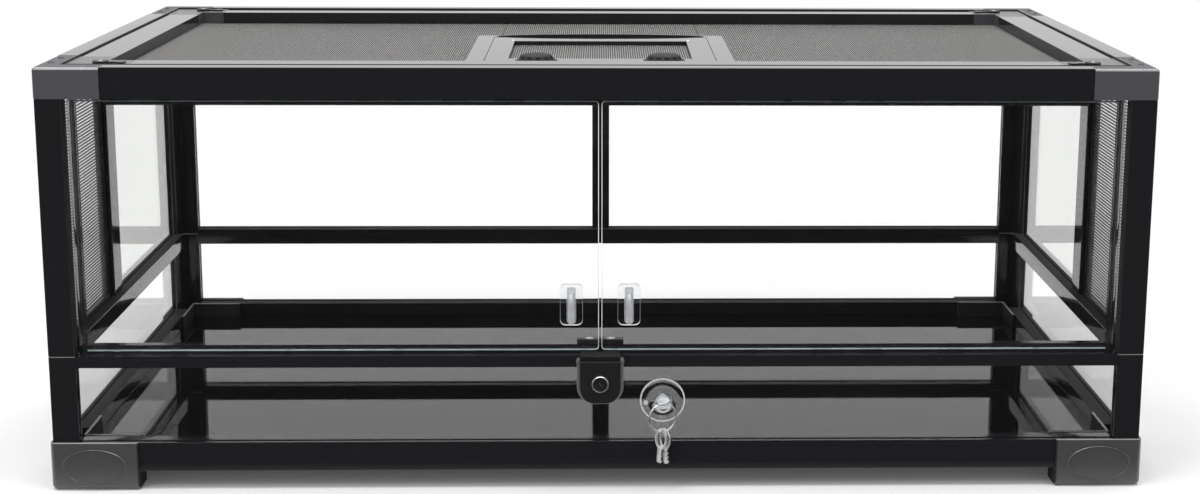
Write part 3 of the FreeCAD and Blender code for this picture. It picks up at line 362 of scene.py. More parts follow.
pane_clear = clear_of("pane_clear", CLEAR_SHADES, None, scale=5, through=1, bend=1.5)
pane_painted_shade = clear_of("pane_painted_shade", PANE_PAINTED_SHADES, None, scale=5, through=1, bend=1.5)
pane_edge = clear_of("pane_edge", GREEN_SHADES, (0.25, 0.35), scale=40, through=0.45, bend=1.5)
pane_meeting = clear_of("pane_meeting", MEETING_SHADES, (0.15, 0.25), scale=40, through=0.3, bend=1.5)
acrylic = clear_of("acrylic", ACRYLIC_SHADES, (0.005, 0.015), scale=150, through=1, bend=1.49)
hinge_smoke = clear_of("hinge_smoke", HINGE_SHADES, (0.03, 0.08), scale=80, through=0.97, bend=1.45)
vinyl = clear_of("vinyl", VINYL_SHADES, (0.02, 0.07), scale=120, through=1, bend=1.45)
# Frosted plastic for the cup's tab, and a painted highlight on the handles' outline and the cup's rim.
frosted_and_painted_highlight = clear_of("frosted_and_painted_highlight", FROSTED_AND_HIGHLIGHT_SHADES, (0.24, 0.36), scale=300, through=0.35, bend=1.45)
milky = clear_of("milky", MILKY_SHADES, (0.08, 0.18), scale=200, through=0.6, bend=1.49)
smoked = clear_of("smoked", SMOKED_SHADES, (0.15, 0.25), scale=60, through=0.3, bend=1.49)
nickel = finish_of("nickel", NICKEL_SHADES, (0.24, 0.36), scale=500, detail=4, height=0.01 * MM, Metallic=1)
print("clear and bright finishes: 11")

# %% [markdown]
# ## The frame
#
# The rails, posts, feet and corners have the right shape already, but perfectly sharp edges don't catch
# light. A copy of each is merged into one skin, its flat faces are cleaned of spare edges, and its edges
# are rounded by about a millimetre. The copy then stands for the node. The floor panel is shaded flat
# again, so that it mirrors like a sheet of glass.


# %% Eased copies of the solid parts
def copy_of(node, name):
    """A clean copy of a node: one skin, with no spare edges on its flat faces."""
    piece = bpy.data.objects.new(name, frame["nodes"][node].data.copy())
    bpy.context.scene.collection.objects.link(piece)
    take_up(piece)
    bpy.ops.mesh.customdata_custom_splitnormals_clear()
    edit_all(piece)
    bpy.ops.mesh.remove_doubles(threshold=0.001 * MM)
    bpy.ops.mesh.dissolve_limited(angle_limit=math.radians(0.5))
    bpy.ops.object.mode_set(mode="OBJECT")
    return piece


def eased(node, finish, radius, segments=2):
    """An eased copy that stands for its node."""
    piece = copy_of(node, f"{node}_eased")
    ease(piece, radius, segments)
    return stand_for(dress(piece, finish), node)


RAIL_EASE = 0.8 * MM
FOOT_EASE = 1.6 * MM
CAP_EASE = 0.8 * MM
FLOOR_EASE = 0.5 * MM
STOP_EASE = 0.6 * MM
LEVELS = ("base", "mid", "top")
ALONG_X = [f"{level}_rail_{end}" for level in LEVELS for end in ("front", "back")]
ALONG_Y = [f"{level}_rail_{hand}" for level in LEVELS for hand in HANDS]
ALONG_Z = ["lower_posts", "upper_posts", "back_mullion", "side_stiles"]
rails = {}
for axis, members in enumerate((ALONG_X, ALONG_Y, ALONG_Z)):
    for node in members:
        rails[node] = eased(node, rail_along[axis], RAIL_EASE)
feet = []
caps = []
for corner in CORNERS:
    feet.append(eased(f"foot_{corner}", foot_grey, FOOT_EASE, segments=4))
    caps.append(eased(f"top_corner_{corner}", corner_grey, CAP_EASE, segments=3))
floor = eased("floor_panel", floor_mirror, FLOOR_EASE)
take_up(floor)
bpy.ops.mesh.customdata_custom_splitnormals_clear()
bpy.ops.object.shade_flat()
eased("door_stop", moulded_black, STOP_EASE)
print("eased frame parts:", len(rails) + len(feet) + len(caps) + 2)

# %% [markdown]
# Some faces differ from the rest of their piece. Rounded edges that look upward, on the caps, the feet and
# the posts' joint, are painted a brighter grey: a painted highlight where light from above would catch
# them. The inner sides of the feet are painted near black, which is painted shade. The sides of the front
# posts that face along the front are matt black, and the rails that hold panes carry a soft gasket on top,
# which is matt black too. None of it needs a piece of its own: a face takes another finish.

# %% Painted highlights, painted shade and matt faces
EASED_SLOPE = (0.25, 0.97)
EDGE_ON = 0.01
GASKET_RAILS = [f"{level}_rail_{side}" for level in ("mid", "base") for side in ("back", *HANDS)]


def on_upper_edge(middle, normal):
    """True on a rounded edge that looks upward."""
    return EASED_SLOPE[0] < normal.z < EASED_SLOPE[1]


def on_shaded_inner_side(middle, normal):
    """True on an upright face that looks towards the middle of the part, where shade is painted."""
    inward = normal.x * middle.x < -EDGE_ON or normal.y * middle.y < -EDGE_ON
    return inward and abs(normal.z) < EASED_SLOPE[0]


def on_post_inside(middle, normal):
    """True on the side of a front post that looks along the front."""
    return normal.x * middle.x < -EDGE_ON and middle.y < 0


# Painted highlight on the rounded edges that look upward, on the caps, the feet and the posts' joint.
for piece in (*feet, *caps, rails["lower_posts"]):
    repaint(piece, painted_highlight_grey, on_upper_edge)
# Painted shade: the feet's inner sides take the near-black matt finish.
for foot in feet:
    repaint(foot, soft_black, on_shaded_inner_side)
repaint(rails["upper_posts"], soft_black, on_post_inside)
for node in GASKET_RAILS:
    repaint(rails[node], soft_black, lambda middle, normal: normal.z > SQUARE_ON)
print("rails with a gasket:", len(GASKET_RAILS))

# %% [markdown]
# ## The lid and the hatch
#
# The lid is a second frame laid into the first. Its rails are two finishes again, along X and along Y, on
# one node, so the material is chosen face by face: a face belongs to the rail that it lies on.

# %% Lid rails and hatch frame
RAIL_BAND = 35 * MM
LID_EASE = 0.5 * MM
LID_CORNER_EASE = 0.45 * MM
SURROUND_EASE = 0.4 * MM
lid_rails = eased("lid_rails", rail_along[X], LID_EASE)
low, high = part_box("lid_rails")


def on_side_rail(middle, normal):
    """True on the lid's left and right rails."""
    return min(middle.x - low.x, high.x - middle.x) < RAIL_BAND


repaint(lid_rails, rail_along[Y], on_side_rail)
eased("lid_corners", lid_corner_grey, LID_CORNER_EASE)
eased("hatch_surround", rail_along[X], SURROUND_EASE)
eased("hatch_door", rail_along[X], LID_EASE)
print("lid rail faces:", len(lid_rails.data.polygons))

# %% [markdown]
# ## Glass
#
# Each pane is a copy of its node with ground edges. The two large faces are found by their normal, which
# points through the pane; every other face is edge. Glass casts no hard shadow worth seeing here, so the
# panes are left out of the shadows and the light falls through them. On the doors, the upright edge near
# the middle is polished, and the outer one takes on the grey of the strip that it is glued into.


# %% Panes with green edges
def pane(node, axis, clear=pane_clear):
    """A pane whose large faces, across one axis, are clear and whose ground edges are green."""
    piece = copy_of(node, f"{node}_pane")
    ease(piece, PANE_EASE, segments=1)
    dress(piece, clear)
    repaint(piece, pane_edge, lambda middle, normal: abs(normal[axis]) <= SQUARE_ON)
    for face in piece.data.polygons:
        face.use_smooth = False
    piece.visible_shadow = False
    return stand_for(piece, node)


def on_upright_edge(middle, normal):
    """True on a door's upright edges."""
    return abs(normal.x) > UPRIGHT_EDGE


def on_hinge_edge(middle, normal):
    """True on the upright edge that is glued into the hinge strip."""
    return on_upright_edge(middle, normal) and abs(middle.x) >= MEETING_REACH


PANE_EASE = 0.6 * MM
UPRIGHT_EDGE = 0.3
MEETING_REACH = 4 * MM
for node in ("lower_glass_front", "lower_glass_back"):
    pane(node, Y)
for hand in HANDS:
    pane(f"upper_glass_back_{hand}", Y)
for hand in HANDS:
    door = pane(f"{hand}_door_glass", Y)
    repaint(door, pane_meeting, on_upright_edge)
    repaint(door, hinge_smoke, on_hinge_edge)
pane("lower_glass_sides", X)
# Painted shade: the upper side panes take a darker grey copy of the glass.
for hand in HANDS:
    pane(f"side_glass_{hand}", X, pane_painted_shade)
print("door pane faces:", len(door.data.polygons))

# %% [markdown]
# The doors turn in strips of grey, clear plastic, which also stay out of the shadows. Two clear faces in
# exactly the same place confuse a ray, so clear pieces that touch glass keep a hair of air between.

# %% Hinge strips
AIR = 0.05 * MM
STRIP_EASE = 0.3 * MM
for hand in HANDS:
    strip = eased(f"{hand}_door_hinge", hinge_smoke, STRIP_EASE, segments=1)
    edit_all(strip)
    bpy.ops.transform.shrink_fatten(value=-AIR)
    bpy.ops.object.mode_set(mode="OBJECT")
    strip.visible_shadow = False
print("hinge strips:", len(HANDS))

# %% [markdown]
# ## Wire screens
#
# The lid, the hatch and the side vents are woven from thin coated wire. In a weave each wire goes over one
# neighbour and under the next. Bending every wire would cost a million faces, so the finish paints the
# light instead: a checker as wide as the pitch is a painted highlight where a wire comes up and painted
# shade where it dips, and the set of wires behind gets a darker copy, which is painted shade.

# %% Wire finishes
PITCH = 2.0 * MM
VENT_PITCH = 2.8 * MM
PAINTED_LIT_GREY = (0.56, 0.548, 0.53)
PAINTED_SHADE_GREY = (0.075, 0.073, 0.071)
PAINTED_BACK_LIT_GREY = (0.16, 0.157, 0.152)
PAINTED_BACK_SHADE_BLACK = (0.016, 0.016, 0.016)
VENT_PAINTED_LIT = (0.050, 0.050, 0.050)
VENT_PAINTED_SHADE = (0.025, 0.025, 0.025)


def wire_finish(name, through, pitch, even, odd):
    """Coated wire with painted light and shade that change at each crossing, on a grid flat along one axis.
    """
    finish = finish_of(name, None, (0.28, 0.42), scale=600)
    tree = finish.node_tree
    place = add_node(tree, "TexCoord")
    scale = [0 if axis == through else 1 / pitch for axis in (X, Y, Z)]
    cells = add_node(tree, "Mapping", {"Scale": scale, "Location": (0.5, 0.5, 0.5)})
    weave = add_node(tree, "TexChecker", {"Scale": 1, "Color1": (*even, 1), "Color2": (*odd, 1)})
    link(tree, (place, "Object", cells, "Vector"), (cells, "Vector", weave, "Vector"))
    link(tree, (weave, "Color", tree.nodes["Principled BSDF"], "Base Color"))
    return finish


# Painted light and shade: light checker cells stand for lit crests, dark cells and the wires behind for
# shade.
lid_wire = [wire_finish("lid_wire_front_painted_light", Z, PITCH, PAINTED_LIT_GREY, PAINTED_SHADE_GREY)]
lid_wire.append(wire_finish("lid_wire_back_painted_shade", Z, PITCH, PAINTED_BACK_SHADE_BLACK, PAINTED_BACK_LIT_GREY))
vent_wire = [wire_finish("vent_wire_front_painted_light", X, VENT_PITCH, VENT_PAINTED_LIT, VENT_PAINTED_SHADE)]
vent_wire.append(wire_finish("vent_wire_back_painted_shade", X, VENT_PITCH, PAINTED_BACK_SHADE_BLACK, PAINTED_SHADE_GREY))
print("wire finishes:", len(lid_wire) + len(vent_wire))

# %% [markdown]
# A texture of holes would not hold up at a low angle, where the wires hide the holes behind them, so the
# wires are real. One six-sided wire is modelled, an array repeats it across the screen, and a second set
# runs the other way, one wire thickness behind. The lid's screen leaves the well of the hatch open, so it
# is made of four fields round it. On the vents the level wires are thick and the upright ones thin, so
# that the weave still shows when it is seen nearly edge on.

# %% Lid and hatch screens
WIRE = (0.27 * MM, 0.27 * MM)
VENT_WIRE = (0.84 * MM, 0.15 * MM)
WIRE_SIDES = 6
WIRES_APART = 0.9
UPRIGHTS = ((0, math.radians(90), 0), (math.radians(90), 0, 0), (0, 0, 0))


def wires(name, low, high, along, across, level, pitch, radius):
    """Parallel wires along one axis, on a grid that is the same all over the part."""
    first = math.ceil((low[across] + radius) / pitch) * pitch
    count = math.floor((high[across] - radius - first) / pitch) + 1
    place = (low + high) / 2
    place[across] = first
    place[X + Y + Z - along - across] = level
    sizes = {"vertices": WIRE_SIDES, "radius": radius, "depth": high[along] - low[along]}
    add = bpy.ops.mesh.primitive_cylinder_add
    piece = start(name, add, location=place, rotation=UPRIGHTS[along], **sizes)
    step = Vector()
    step[across] = pitch
    offset = {"use_relative_offset": False, "use_constant_offset": True, "constant_offset_displace": step}
    apply_modifier(piece, "ARRAY", count=count, **offset)
    return piece


def woven(name, low, high, through, front, finishes):
    """Two sets of wires across a thin box: those along Y lie to the front, which is up or down the axis."""
    other = X if through == Z else Z
    pitch, thickness = (PITCH, WIRE) if through == Z else (VENT_PITCH, VENT_WIRE)
    middle = (low[through] + high[through]) / 2
    level = middle + front * WIRES_APART * thickness[1]
    under = middle - front * WIRES_APART * thickness[0]
    face = dress(wires(name, low, high, Y, other, level, pitch, thickness[0]), finishes[0])
    behind = dress(wires(name, low, high, other, Y, under, pitch, thickness[1]), finishes[1])
    return join([face, behind], name)


WELL_LOW_LIP = Vector((19.5, 14.5, 0)) * MM
WELL_HIGH_LIP = Vector((19.5, 15.5, 0)) * MM
low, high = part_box("lid_screen")
well_low, well_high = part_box("hatch_surround")
well_low, well_high = well_low + WELL_LOW_LIP, well_high - WELL_HIGH_LIP
fields = [("left", low, (well_low.x, high.y)), ("right", (well_high.x, low.y), high)]
fields += [("back", (well_low.x, well_high.y), (well_high.x, high.y))]
fields += [("front", (well_low.x, low.y), (well_high.x, well_low.y))]
screens = []
for side, first, last in fields:
    corners = Vector((*first[:2], low.z)), Vector((*last[:2], high.z))
    screens.append(woven(f"lid_screen_{side}", *corners, Z, front=1, finishes=lid_wire))
lid_screen = stand_for(join(screens, "lid_screen_wire"), "lid_screen")
hatch_screen = woven("hatch_screen_wire", *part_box("hatch_screen"), Z, front=1, finishes=lid_wire)
stand_for(hatch_screen, "hatch_screen")
print("lid wire faces:", len(lid_screen.data.polygons), "hatch wire faces:", len(hatch_screen.data.polygons))

# %% [markdown]
# A side vent has a flat border all round, which sits in the grooves of the post, the stile and the rails.
# The border starts as a plane, which is inset to the border's width; the middle is deleted and the rest
# gets its thickness.


# %% Side vents
def border_of(name, low, high, through, width):
    """A flat border along the edges of a thin box."""
    across = Z if through == X else X
    scale = (high[across] - low[across], high.y - low.y, 1)
    add = bpy.ops.mesh.primitive_plane_add
    border = start(name, add, scale, size=1, location=(low + high) / 2, rotation=UPRIGHTS[through])
    edit_all(border)
    bpy.ops.mesh.inset(thickness=width, depth=0)
    bpy.ops.mesh.delete(type="FACE")
    bpy.ops.object.mode_set(mode="OBJECT")
    apply_modifier(border, "SOLIDIFY", thickness=high[through] - low[through], offset=0)
    return border


VENT_BORDER = 9 * MM
BORDER_EASE = 0.4 * MM
for hand, front in zip(HANDS, (1, -1)):
    low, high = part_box(f"vent_screen_{hand}")
    border = border_of(f"vent_screen_{hand}_border", low, high, X, VENT_BORDER)
    ease(border, BORDER_EASE)
    dress(border, moulded_black)
    inset = Vector((0, VENT_BORDER, VENT_BORDER))
    field = woven(f"vent_screen_{hand}_wire", low + inset, high - inset, X, front, vent_wire)
    vent = join([border, field], f"vent_screen_{hand}_woven")
    stand_for(vent, f"vent_screen_{hand}")
    print(f"{hand} vent faces:", len(vent.data.polygons))

# %% [markdown]
# A thin black strip round the lid fills the gap to the rim, as painted shade for the shadow in that gap.
# It is a border too, only narrow and tall, and shows as a thin black line.

# %% Painted shade in the lid's gap
GAP_SHADE_REACH = Vector((1.1, 1.1, 0)) * MM
GAP_SHADE_WIDTH = 0.95 * MM
GAP_SHADE_EASE = 0.3 * MM
GAP_SHADE_HEIGHTS = (354.5 * MM, 358.35 * MM)
low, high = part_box("lid_rails")
low, high = low - GAP_SHADE_REACH, high + GAP_SHADE_REACH
low.z, high.z = GAP_SHADE_HEIGHTS
# Painted shade: a black strip stands where the gap round the lid is in shadow.
gap_shade_strip = border_of("lid_gap_shade_strip", low, high, Z, GAP_SHADE_WIDTH)
ease(gap_shade_strip, GAP_SHADE_EASE)
add_to(dress(gap_shade_strip, soft_black), "lid_rails")
print("seal faces:", len(gap_shade_strip.data.polygons))

# %% [markdown]
# ## Turned pieces
#
# Knobs, the suction cup, the lock cylinder and screw heads are all round, so they share one helper that
# works like a lathe: a filled circle is extruded along Z again and again, and resized at each step. A
# short list of radii and heights then describes the piece.


# %% A lathe, copies and cuts
def lathe(name, profile, segments=48):
    """A turned solid about Z, from (radius, height) pairs in millimetres."""
    radius, height = profile[0]
    sizes = {"vertices": segments, "radius": radius * MM, "location": (0, 0, height * MM)}
    piece = start(name, bpy.ops.mesh.primitive_circle_add, fill_type="NGON", **sizes)
    edit_all(piece)
    for next_radius, next_height in profile[1:]:
        rise = (next_height - height) * MM
        bpy.ops.mesh.extrude_region_move(TRANSFORM_OT_translate={"value": (0, 0, rise)})
        ratio = next_radius / radius
        bpy.ops.transform.resize(value=(ratio, ratio, 1), center_override=(0, 0, next_height * MM))
        radius, height = next_radius, next_height
    leave_edit()
    smooth(piece)
    return piece


def block(name, low, high):
    """A box between two corners, as a start for shaping."""
    return start(name, bpy.ops.mesh.primitive_cube_add, high - low, size=1, location=(low + high) / 2)


def put(piece, place, turn=(0, 0, 0)):
    """Turns and places a piece, and settles that into its mesh."""
    piece.rotation_euler = [math.radians(angle) for angle in turn]
    piece.location = place
    settle(piece)
    return piece


def twin(piece, name):
    """A copy with a mesh of its own."""
    copy = bpy.data.objects.new(name, piece.data.copy())
    bpy.context.scene.collection.objects.link(copy)
    return copy


def cut_away(piece, tool):
    """Cuts a tool's shape out of a piece and clears the tool away."""
    apply_modifier(piece, "BOOLEAN", operation="DIFFERENCE", object=tool)
    bpy.data.objects.remove(tool)


TO_FRONT = (90, 0, 0)
print("lathe ready")

# %% [markdown]
# ## Screws
#
# Two small screws hold each top corner to its side rail. One low head is turned, a cross is cut into it,
# and the copies go where they are needed. A plain head without the cross serves as a rivet, on the hatch
# and in the middle of each turn lock.

# %% Screws on the top corners, rivets on the hatch and the turn locks
HEAD_RADIUS = 2.3
HEAD_RISE = 0.9
HEAD_PROFILE = [(1, 0), (1, 0.35), (0.88, 0.7), (0.6, 0.92), (0.25, 1)]
CROSS_HALF = Vector((0.7 * HEAD_RADIUS, 0.4, HEAD_RISE / 2)) * MM
HEAD_SUNK = Vector((0, 0, 0.05)) * MM
DOT_SUNK = Vector((0, 0, 0.03)) * MM
RIM_MIDDLE = 8.5 * MM
HUB_RADIUS = 6.5 * MM
SCREW_SETBACKS = (27 * MM, 55 * MM)
RIVET_SCALE = (0.6, 0.6, 0.6)
RIVET_INSET = Vector((23, 23.5, 0)) * MM
DOT_SCALE = (0.7, 0.7, 0.35)


def hub_of(corner):
    """The middle of a turn lock's top."""
    low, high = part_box(f"lid_lock_{corner}")
    x = high.x - HUB_RADIUS if corner.endswith("left") else low.x + HUB_RADIUS
    return Vector((x, (low.y + high.y) / 2, high.z))


def set_rivet(name, scale, place, node):
    """A rivet of a given size on a node."""
    dot = twin(rivet, name)
    dot.scale = scale
    add_to(put(dot, place), node)


head_outline = [(HEAD_RADIUS * wide, HEAD_RISE * tall) for wide, tall in HEAD_PROFILE]
rivet = lathe("rivet", head_outline, segments=24)
dress(rivet, nickel)
screw = twin(rivet, "screw")
for turn in (45, 135):
    cross = block("cross", -CROSS_HALF, CROSS_HALF)
    cut_away(screw, put(cross, (0, 0, HEAD_RISE * MM), (0, 0, turn)))
for corner in CORNERS:
    node = f"top_corner_{corner}"
    low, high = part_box(node)
    end, hand = corner.split("_")
    x = low.x + RIM_MIDDLE if hand == "left" else high.x - RIM_MIDDLE
    for count, setback in enumerate(SCREW_SETBACKS, 1):
        y = low.y + setback if end == "front" else high.y - setback
        head = put(twin(screw, f"{node}_screw_{count}"), Vector((x, y, high.z)) - HEAD_SUNK)
        add_to(dress(head, black_steel), node)
low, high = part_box("hatch_door")
for hand, x in zip(HANDS, (low.x + RIVET_INSET.x, high.x - RIVET_INSET.x)):
    place = Vector((x, high.y - RIVET_INSET.y, high.z)) - HEAD_SUNK
    set_rivet(f"hatch_rivet_{hand}", RIVET_SCALE, place, "hatch_door")
for corner in CORNERS:
    set_rivet(f"lid_lock_{corner}_dot", DOT_SCALE, hub_of(corner) - DOT_SUNK, f"lid_lock_{corner}")
bpy.data.objects.remove(screw)
bpy.data.objects.remove(rivet)
print("screws:", len(CORNERS) * len(SCREW_SETBACKS), "rivets:", len(HANDS) + len(CORNERS))

# %% [markdown]
# ## Hatch knobs
#
# Two low domed knobs lock the hatch. Each is turned with a thin skirt, and flutes are pressed into its
# flank so that a finger can grip it: every second strip of the flank is pushed in. A shaft goes through
# the hatch to a flat tongue with a rounded end, which turns under the surround.

# %% Fluted knobs with their tongues
KNOB_PROFILE = [(18, 0), (18, 1), (17.6, 1.5), (15.4, 1.9), (14.9, 2.6), (13.6, 5.0)]
KNOB_PROFILE += [(12.6, 6.0), (10.5, 6.6), (7, 6.9), (2, 7)]
KNOB_SIDES = 72
KNOB_CENTRE_INSET = 18 * MM
FLANK = (2.6 * MM, 5 * MM)
FLANK_SLOPE = 0.7
FLUTE_STRIPS = 3
FLUTE_DEPTH = 0.8 * MM
SHAFT_RADIUS = 3
SHAFT_OVERLAP = 0.5
TONGUE_HALF = 4 * MM
TONGUE_THICKNESS = 2 * MM
TONGUE_ROUND = 0.8 * TONGUE_HALF
TONGUE_EASE = 0.3 * MM
KNOB_EASE = 0.25 * MM
HAIR = 0.01 * MM
dome = lathe("knob_dome", KNOB_PROFILE, KNOB_SIDES)


def on_flute(middle, normal):
    """True on three strips of every six round the knob's flank."""
    strip = int((math.atan2(middle.y, middle.x) + math.pi) / math.tau * KNOB_SIDES)
    on_flank = FLANK[0] < middle.z < FLANK[1] and normal.z < FLANK_SLOPE
    return on_flank and strip % (2 * FLUTE_STRIPS) < FLUTE_STRIPS


pick(dome, "FACE", on_flute)
bpy.ops.mesh.extrude_region_shrink_fatten(TRANSFORM_OT_shrink_fatten={"value": -FLUTE_DEPTH})
leave_edit()
ease(dome, KNOB_EASE, angle=28)
for hand in HANDS:
    node = f"hatch_knob_{hand}"
    low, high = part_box(node)
    seat = high.z - KNOB_PROFILE[-1][1] * MM
    x = low.x + KNOB_CENTRE_INSET if hand == "left" else high.x - KNOB_CENTRE_INSET
    tip = high.x if hand == "left" else low.x
    middle = (low.y + high.y) / 2
    knob = put(twin(dome, f"{node}_fluted"), (x, middle, seat))
    shaft_profile = [(SHAFT_RADIUS, low.z / MM), (SHAFT_RADIUS, seat / MM + SHAFT_OVERLAP)]
    shaft = put(lathe(f"{node}_shaft", shaft_profile, segments=24), (x, middle, 0))
    tongue_low = Vector((min(x, tip), middle - TONGUE_HALF, low.z))
    tongue_high = Vector((max(x, tip), middle + TONGUE_HALF, low.z + TONGUE_THICKNESS))
    tongue = block(f"{node}_tongue", tongue_low, tongue_high)
    pick(tongue, "EDGE", lambda point, run: abs(run.z) > SQUARE_ON and abs(point.x - tip) < HAIR)
    bpy.ops.mesh.bevel(offset=TONGUE_ROUND, segments=5)
    leave_edit()
    ease(tongue, TONGUE_EASE)
    stand_for(dress(join([knob, shaft, tongue], f"{node}_fluted"), soft_black), node)
bpy.data.objects.remove(dome)
print("knobs: 2, faces each:", len(knob.data.polygons))

# %% [markdown]
# Behind the hatch a low bowed bar stands on the lid, so that the open hatch has something to lean on. It
# is a disc, squeezed to a long flat oval and set upright with its lower half sunk into the hatch's
# surround.

# %% Hatch bar
BAR_SCALE = (98 * MM, 2.2 * MM, 1)
BAR_THICKNESS = 2.4 * MM
BAR_SETBACK = 6.5 * MM
BAR_EASE = 0.3 * MM
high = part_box("hatch_surround")[1]
sizes = {"vertices": 96, "radius": 1, "depth": BAR_THICKNESS, "rotation": UPRIGHTS[Y]}
place = (0, high.y - BAR_SETBACK, high.z)
bar = start("hatch_bar", bpy.ops.mesh.primitive_cylinder_add, BAR_SCALE, location=place, **sizes)
ease(bar, BAR_EASE)
add_to(dress(bar, moulded_black), "hatch_surround")
print("bar faces:", len(bar.data.polygons))

# %% [markdown]
# ## Turn locks
#
# A button near each corner of the lid turns a hidden tongue under the rim. On top it carries a flat lever
# with a wider end for the thumb. The lever is one block, drawn out in steps towards the middle of the lid.

# %% Levers
LEVER_LEVEL = 0.25 * MM
LEVER_EASE = 0.35 * MM
HUB_EASE = 0.3 * MM
LEVER_LOW = Vector((-4.5, -3.4, 0)) * MM
LEVER_HIGH = Vector((7, 3.4, 1.2)) * MM
LEVER_STEPS = ((6, 0.8), (1.5, 1.9), (4.5, 1), (1.2, 0.75))
lever = block("lever", LEVER_LOW, LEVER_HIGH)
pick(lever, "FACE", lambda middle, normal: normal.x > SQUARE_ON)
for run, widen in LEVER_STEPS:
    bpy.ops.mesh.extrude_region_move(TRANSFORM_OT_translate={"value": (run * MM, 0, 0)})
    bpy.ops.transform.resize(value=(1, widen, 1), center_override=(0, 0, 0))
leave_edit()
ease(lever, LEVER_EASE)
lid_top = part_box("lid_rails")[1].z
for corner in CORNERS:
    node = f"lid_lock_{corner}"
    place = hub_of(corner)
    place.z = lid_top + LEVER_LEVEL
    hub = copy_of(node, f"{node}_hub")
    ease(hub, HUB_EASE)
    arm = put(twin(lever, f"{node}_lever"), place, (0, 0, 0 if corner.endswith("left") else 180))
    stand_for(dress(join([hub, arm], f"{node}_lever"), moulded_black), node)
bpy.data.objects.remove(lever)
print("turn locks:", len(CORNERS))

# %% [markdown]
# ## Door handles
#
# The handles are clear plastic: a flat plate with rounded lower corners, clipped upper ones and a fin down
# its middle to pull on. A block makes the plate. Its front face is inset and narrowed to the fin's foot,
# drawn forward, and the fin's front edges are rounded so that it works as a lens. Plate and fin stay one
# skin, because a ray would see a wall between two. The eased outline is painted a pale frosted white, a
# painted highlight, and the fin is a little milky.

# %% Handles with a fin
PLATE_THICKNESS = 4.5 * MM
LOWER_ROUND = 4.5 * MM
UPPER_CLIP = 2.6 * MM
FIN_MARGIN = 1.2 * MM
FIN_FOOT = (0.46, 1, 0.94)
FIN_FRONT = (0.72, 1, 0.86)
FIN_ROUND = 1.7 * MM
FIN_CLEAR = 0.8 * MM
OUTLINE_SLOPE = 0.97
GRIP_EASE = 0.7 * MM
low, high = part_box("left_door_handle")
grip_middle = (low + high) / 2
plate_face = high.y - PLATE_THICKNESS
grip = block("left_door_handle_finned", Vector((low.x, plate_face, low.z)), high - Vector((0, AIR, 0)))
pick(grip, "EDGE", lambda middle, run: abs(run.y) > SQUARE_ON and middle.z < grip_middle.z)
bpy.ops.mesh.bevel(offset=LOWER_ROUND, segments=5)
pick(grip, "EDGE", lambda middle, run: abs(run.y) > SQUARE_ON and middle.z > high.z - HAIR)
bpy.ops.mesh.bevel(offset=UPPER_CLIP, segments=1)
pick(grip, "FACE", lambda middle, normal: normal.y < -SQUARE_ON)
bpy.ops.mesh.inset(thickness=FIN_MARGIN, depth=0)
bpy.ops.transform.resize(value=FIN_FOOT, center_override=(grip_middle.x, plate_face, grip_middle.z))
bpy.ops.mesh.extrude_region_move(TRANSFORM_OT_translate={"value": (0, low.y - plate_face, 0)})
bpy.ops.transform.resize(value=FIN_FRONT, center_override=(grip_middle.x, low.y, grip_middle.z))
leave_edit()
pick(grip, "EDGE", lambda middle, run: abs(run.z) > SQUARE_ON and middle.y < low.y + HAIR)
bpy.ops.mesh.bevel(offset=FIN_ROUND, segments=4)
leave_edit()
ease(grip, GRIP_EASE, angle=25)
dress(grip, acrylic)
# Painted highlight: the handle's eased outline is painted a pale frosted white.
repaint(grip, frosted_and_painted_highlight, lambda middle, normal: abs(normal.y) < OUTLINE_SLOPE)
repaint(grip, milky, lambda middle, normal: middle.y < plate_face - FIN_CLEAR)
other_grip = put(twin(grip, "right_door_handle_finned"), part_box("right_door_handle")[0] - low)
for hand, piece in zip(HANDS, (grip, other_grip)):
    piece.visible_shadow = False
    stand_for(piece, f"{hand}_door_handle")
print("handles: 2, faces each:", len(grip.data.polygons))

# %% [markdown]
# ## The lock
#
# The lock is a black shield in a smoked bezel, with a short bolt above it that rises in front of the
# doors. The bright ring round the cylinder is turned with a hollow face, and a black plug with a keyway
# sits in it. A small cam pin at the back of the cylinder moves the bolt.

# %% Lock
RING_PROFILE = [(7, 3.3), (7, 9.6), (6.8, 10.1), (6.5, 10.3), (6.2, 10.2), (6.0, 9.6), (5.8, 8.2)]
RING_PROFILE += [(0.5, 8.2)]
PLUG_PROFILE = [(5.6, 8), (5.6, 9), (5.2, 9.5), (3.6, 9.8), (0.5, 9.9)]
CAM_PROFILE = [(1.5, 0), (1.5, 3.6)]
CAM_PLACE = Vector((4, 0, -4)) * MM
KEYWAY_TURN = 40
HOUSING_EASE = 0.7 * MM
BOLT_EASE = 0.4 * MM
BEZEL_EASE = 0.9 * MM
WAFER_EASE = 0.25 * MM
KEYWAY = (Vector((-0.65, -3, 8.6)) * MM, Vector((0.65, 3, 11.5)) * MM)
WAFER = (Vector((-0.45, -2.8, 8.2)) * MM, Vector((0.45, 1.6, 9.6)) * MM)
eased("lock_housing", moulded_black, HOUSING_EASE, segments=3)
eased("lock_bolt", moulded_black, BOLT_EASE)
eased("lock_bezel", smoked, BEZEL_EASE, segments=3)
collar = lathe("lock_cylinder_collar", RING_PROFILE)
plug = lathe("lock_cylinder_plug", PLUG_PROFILE, segments=32)
cut_away(plug, block("keyway", *KEYWAY))
wafer = block("lock_cylinder_wafer", *WAFER)
ease(wafer, WAFER_EASE)
for piece in (plug, wafer):
    put(piece, (0, 0, 0), (0, 0, KEYWAY_TURN))
low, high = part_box("lock_cylinder")
lock_middle = Vector(((low.x + high.x) / 2, high.y, (low.z + high.z) / 2))
for piece, finish in ((collar, nickel), (plug, moulded_black), (wafer, nickel)):
    put(dress(piece, finish), lock_middle, TO_FRONT)
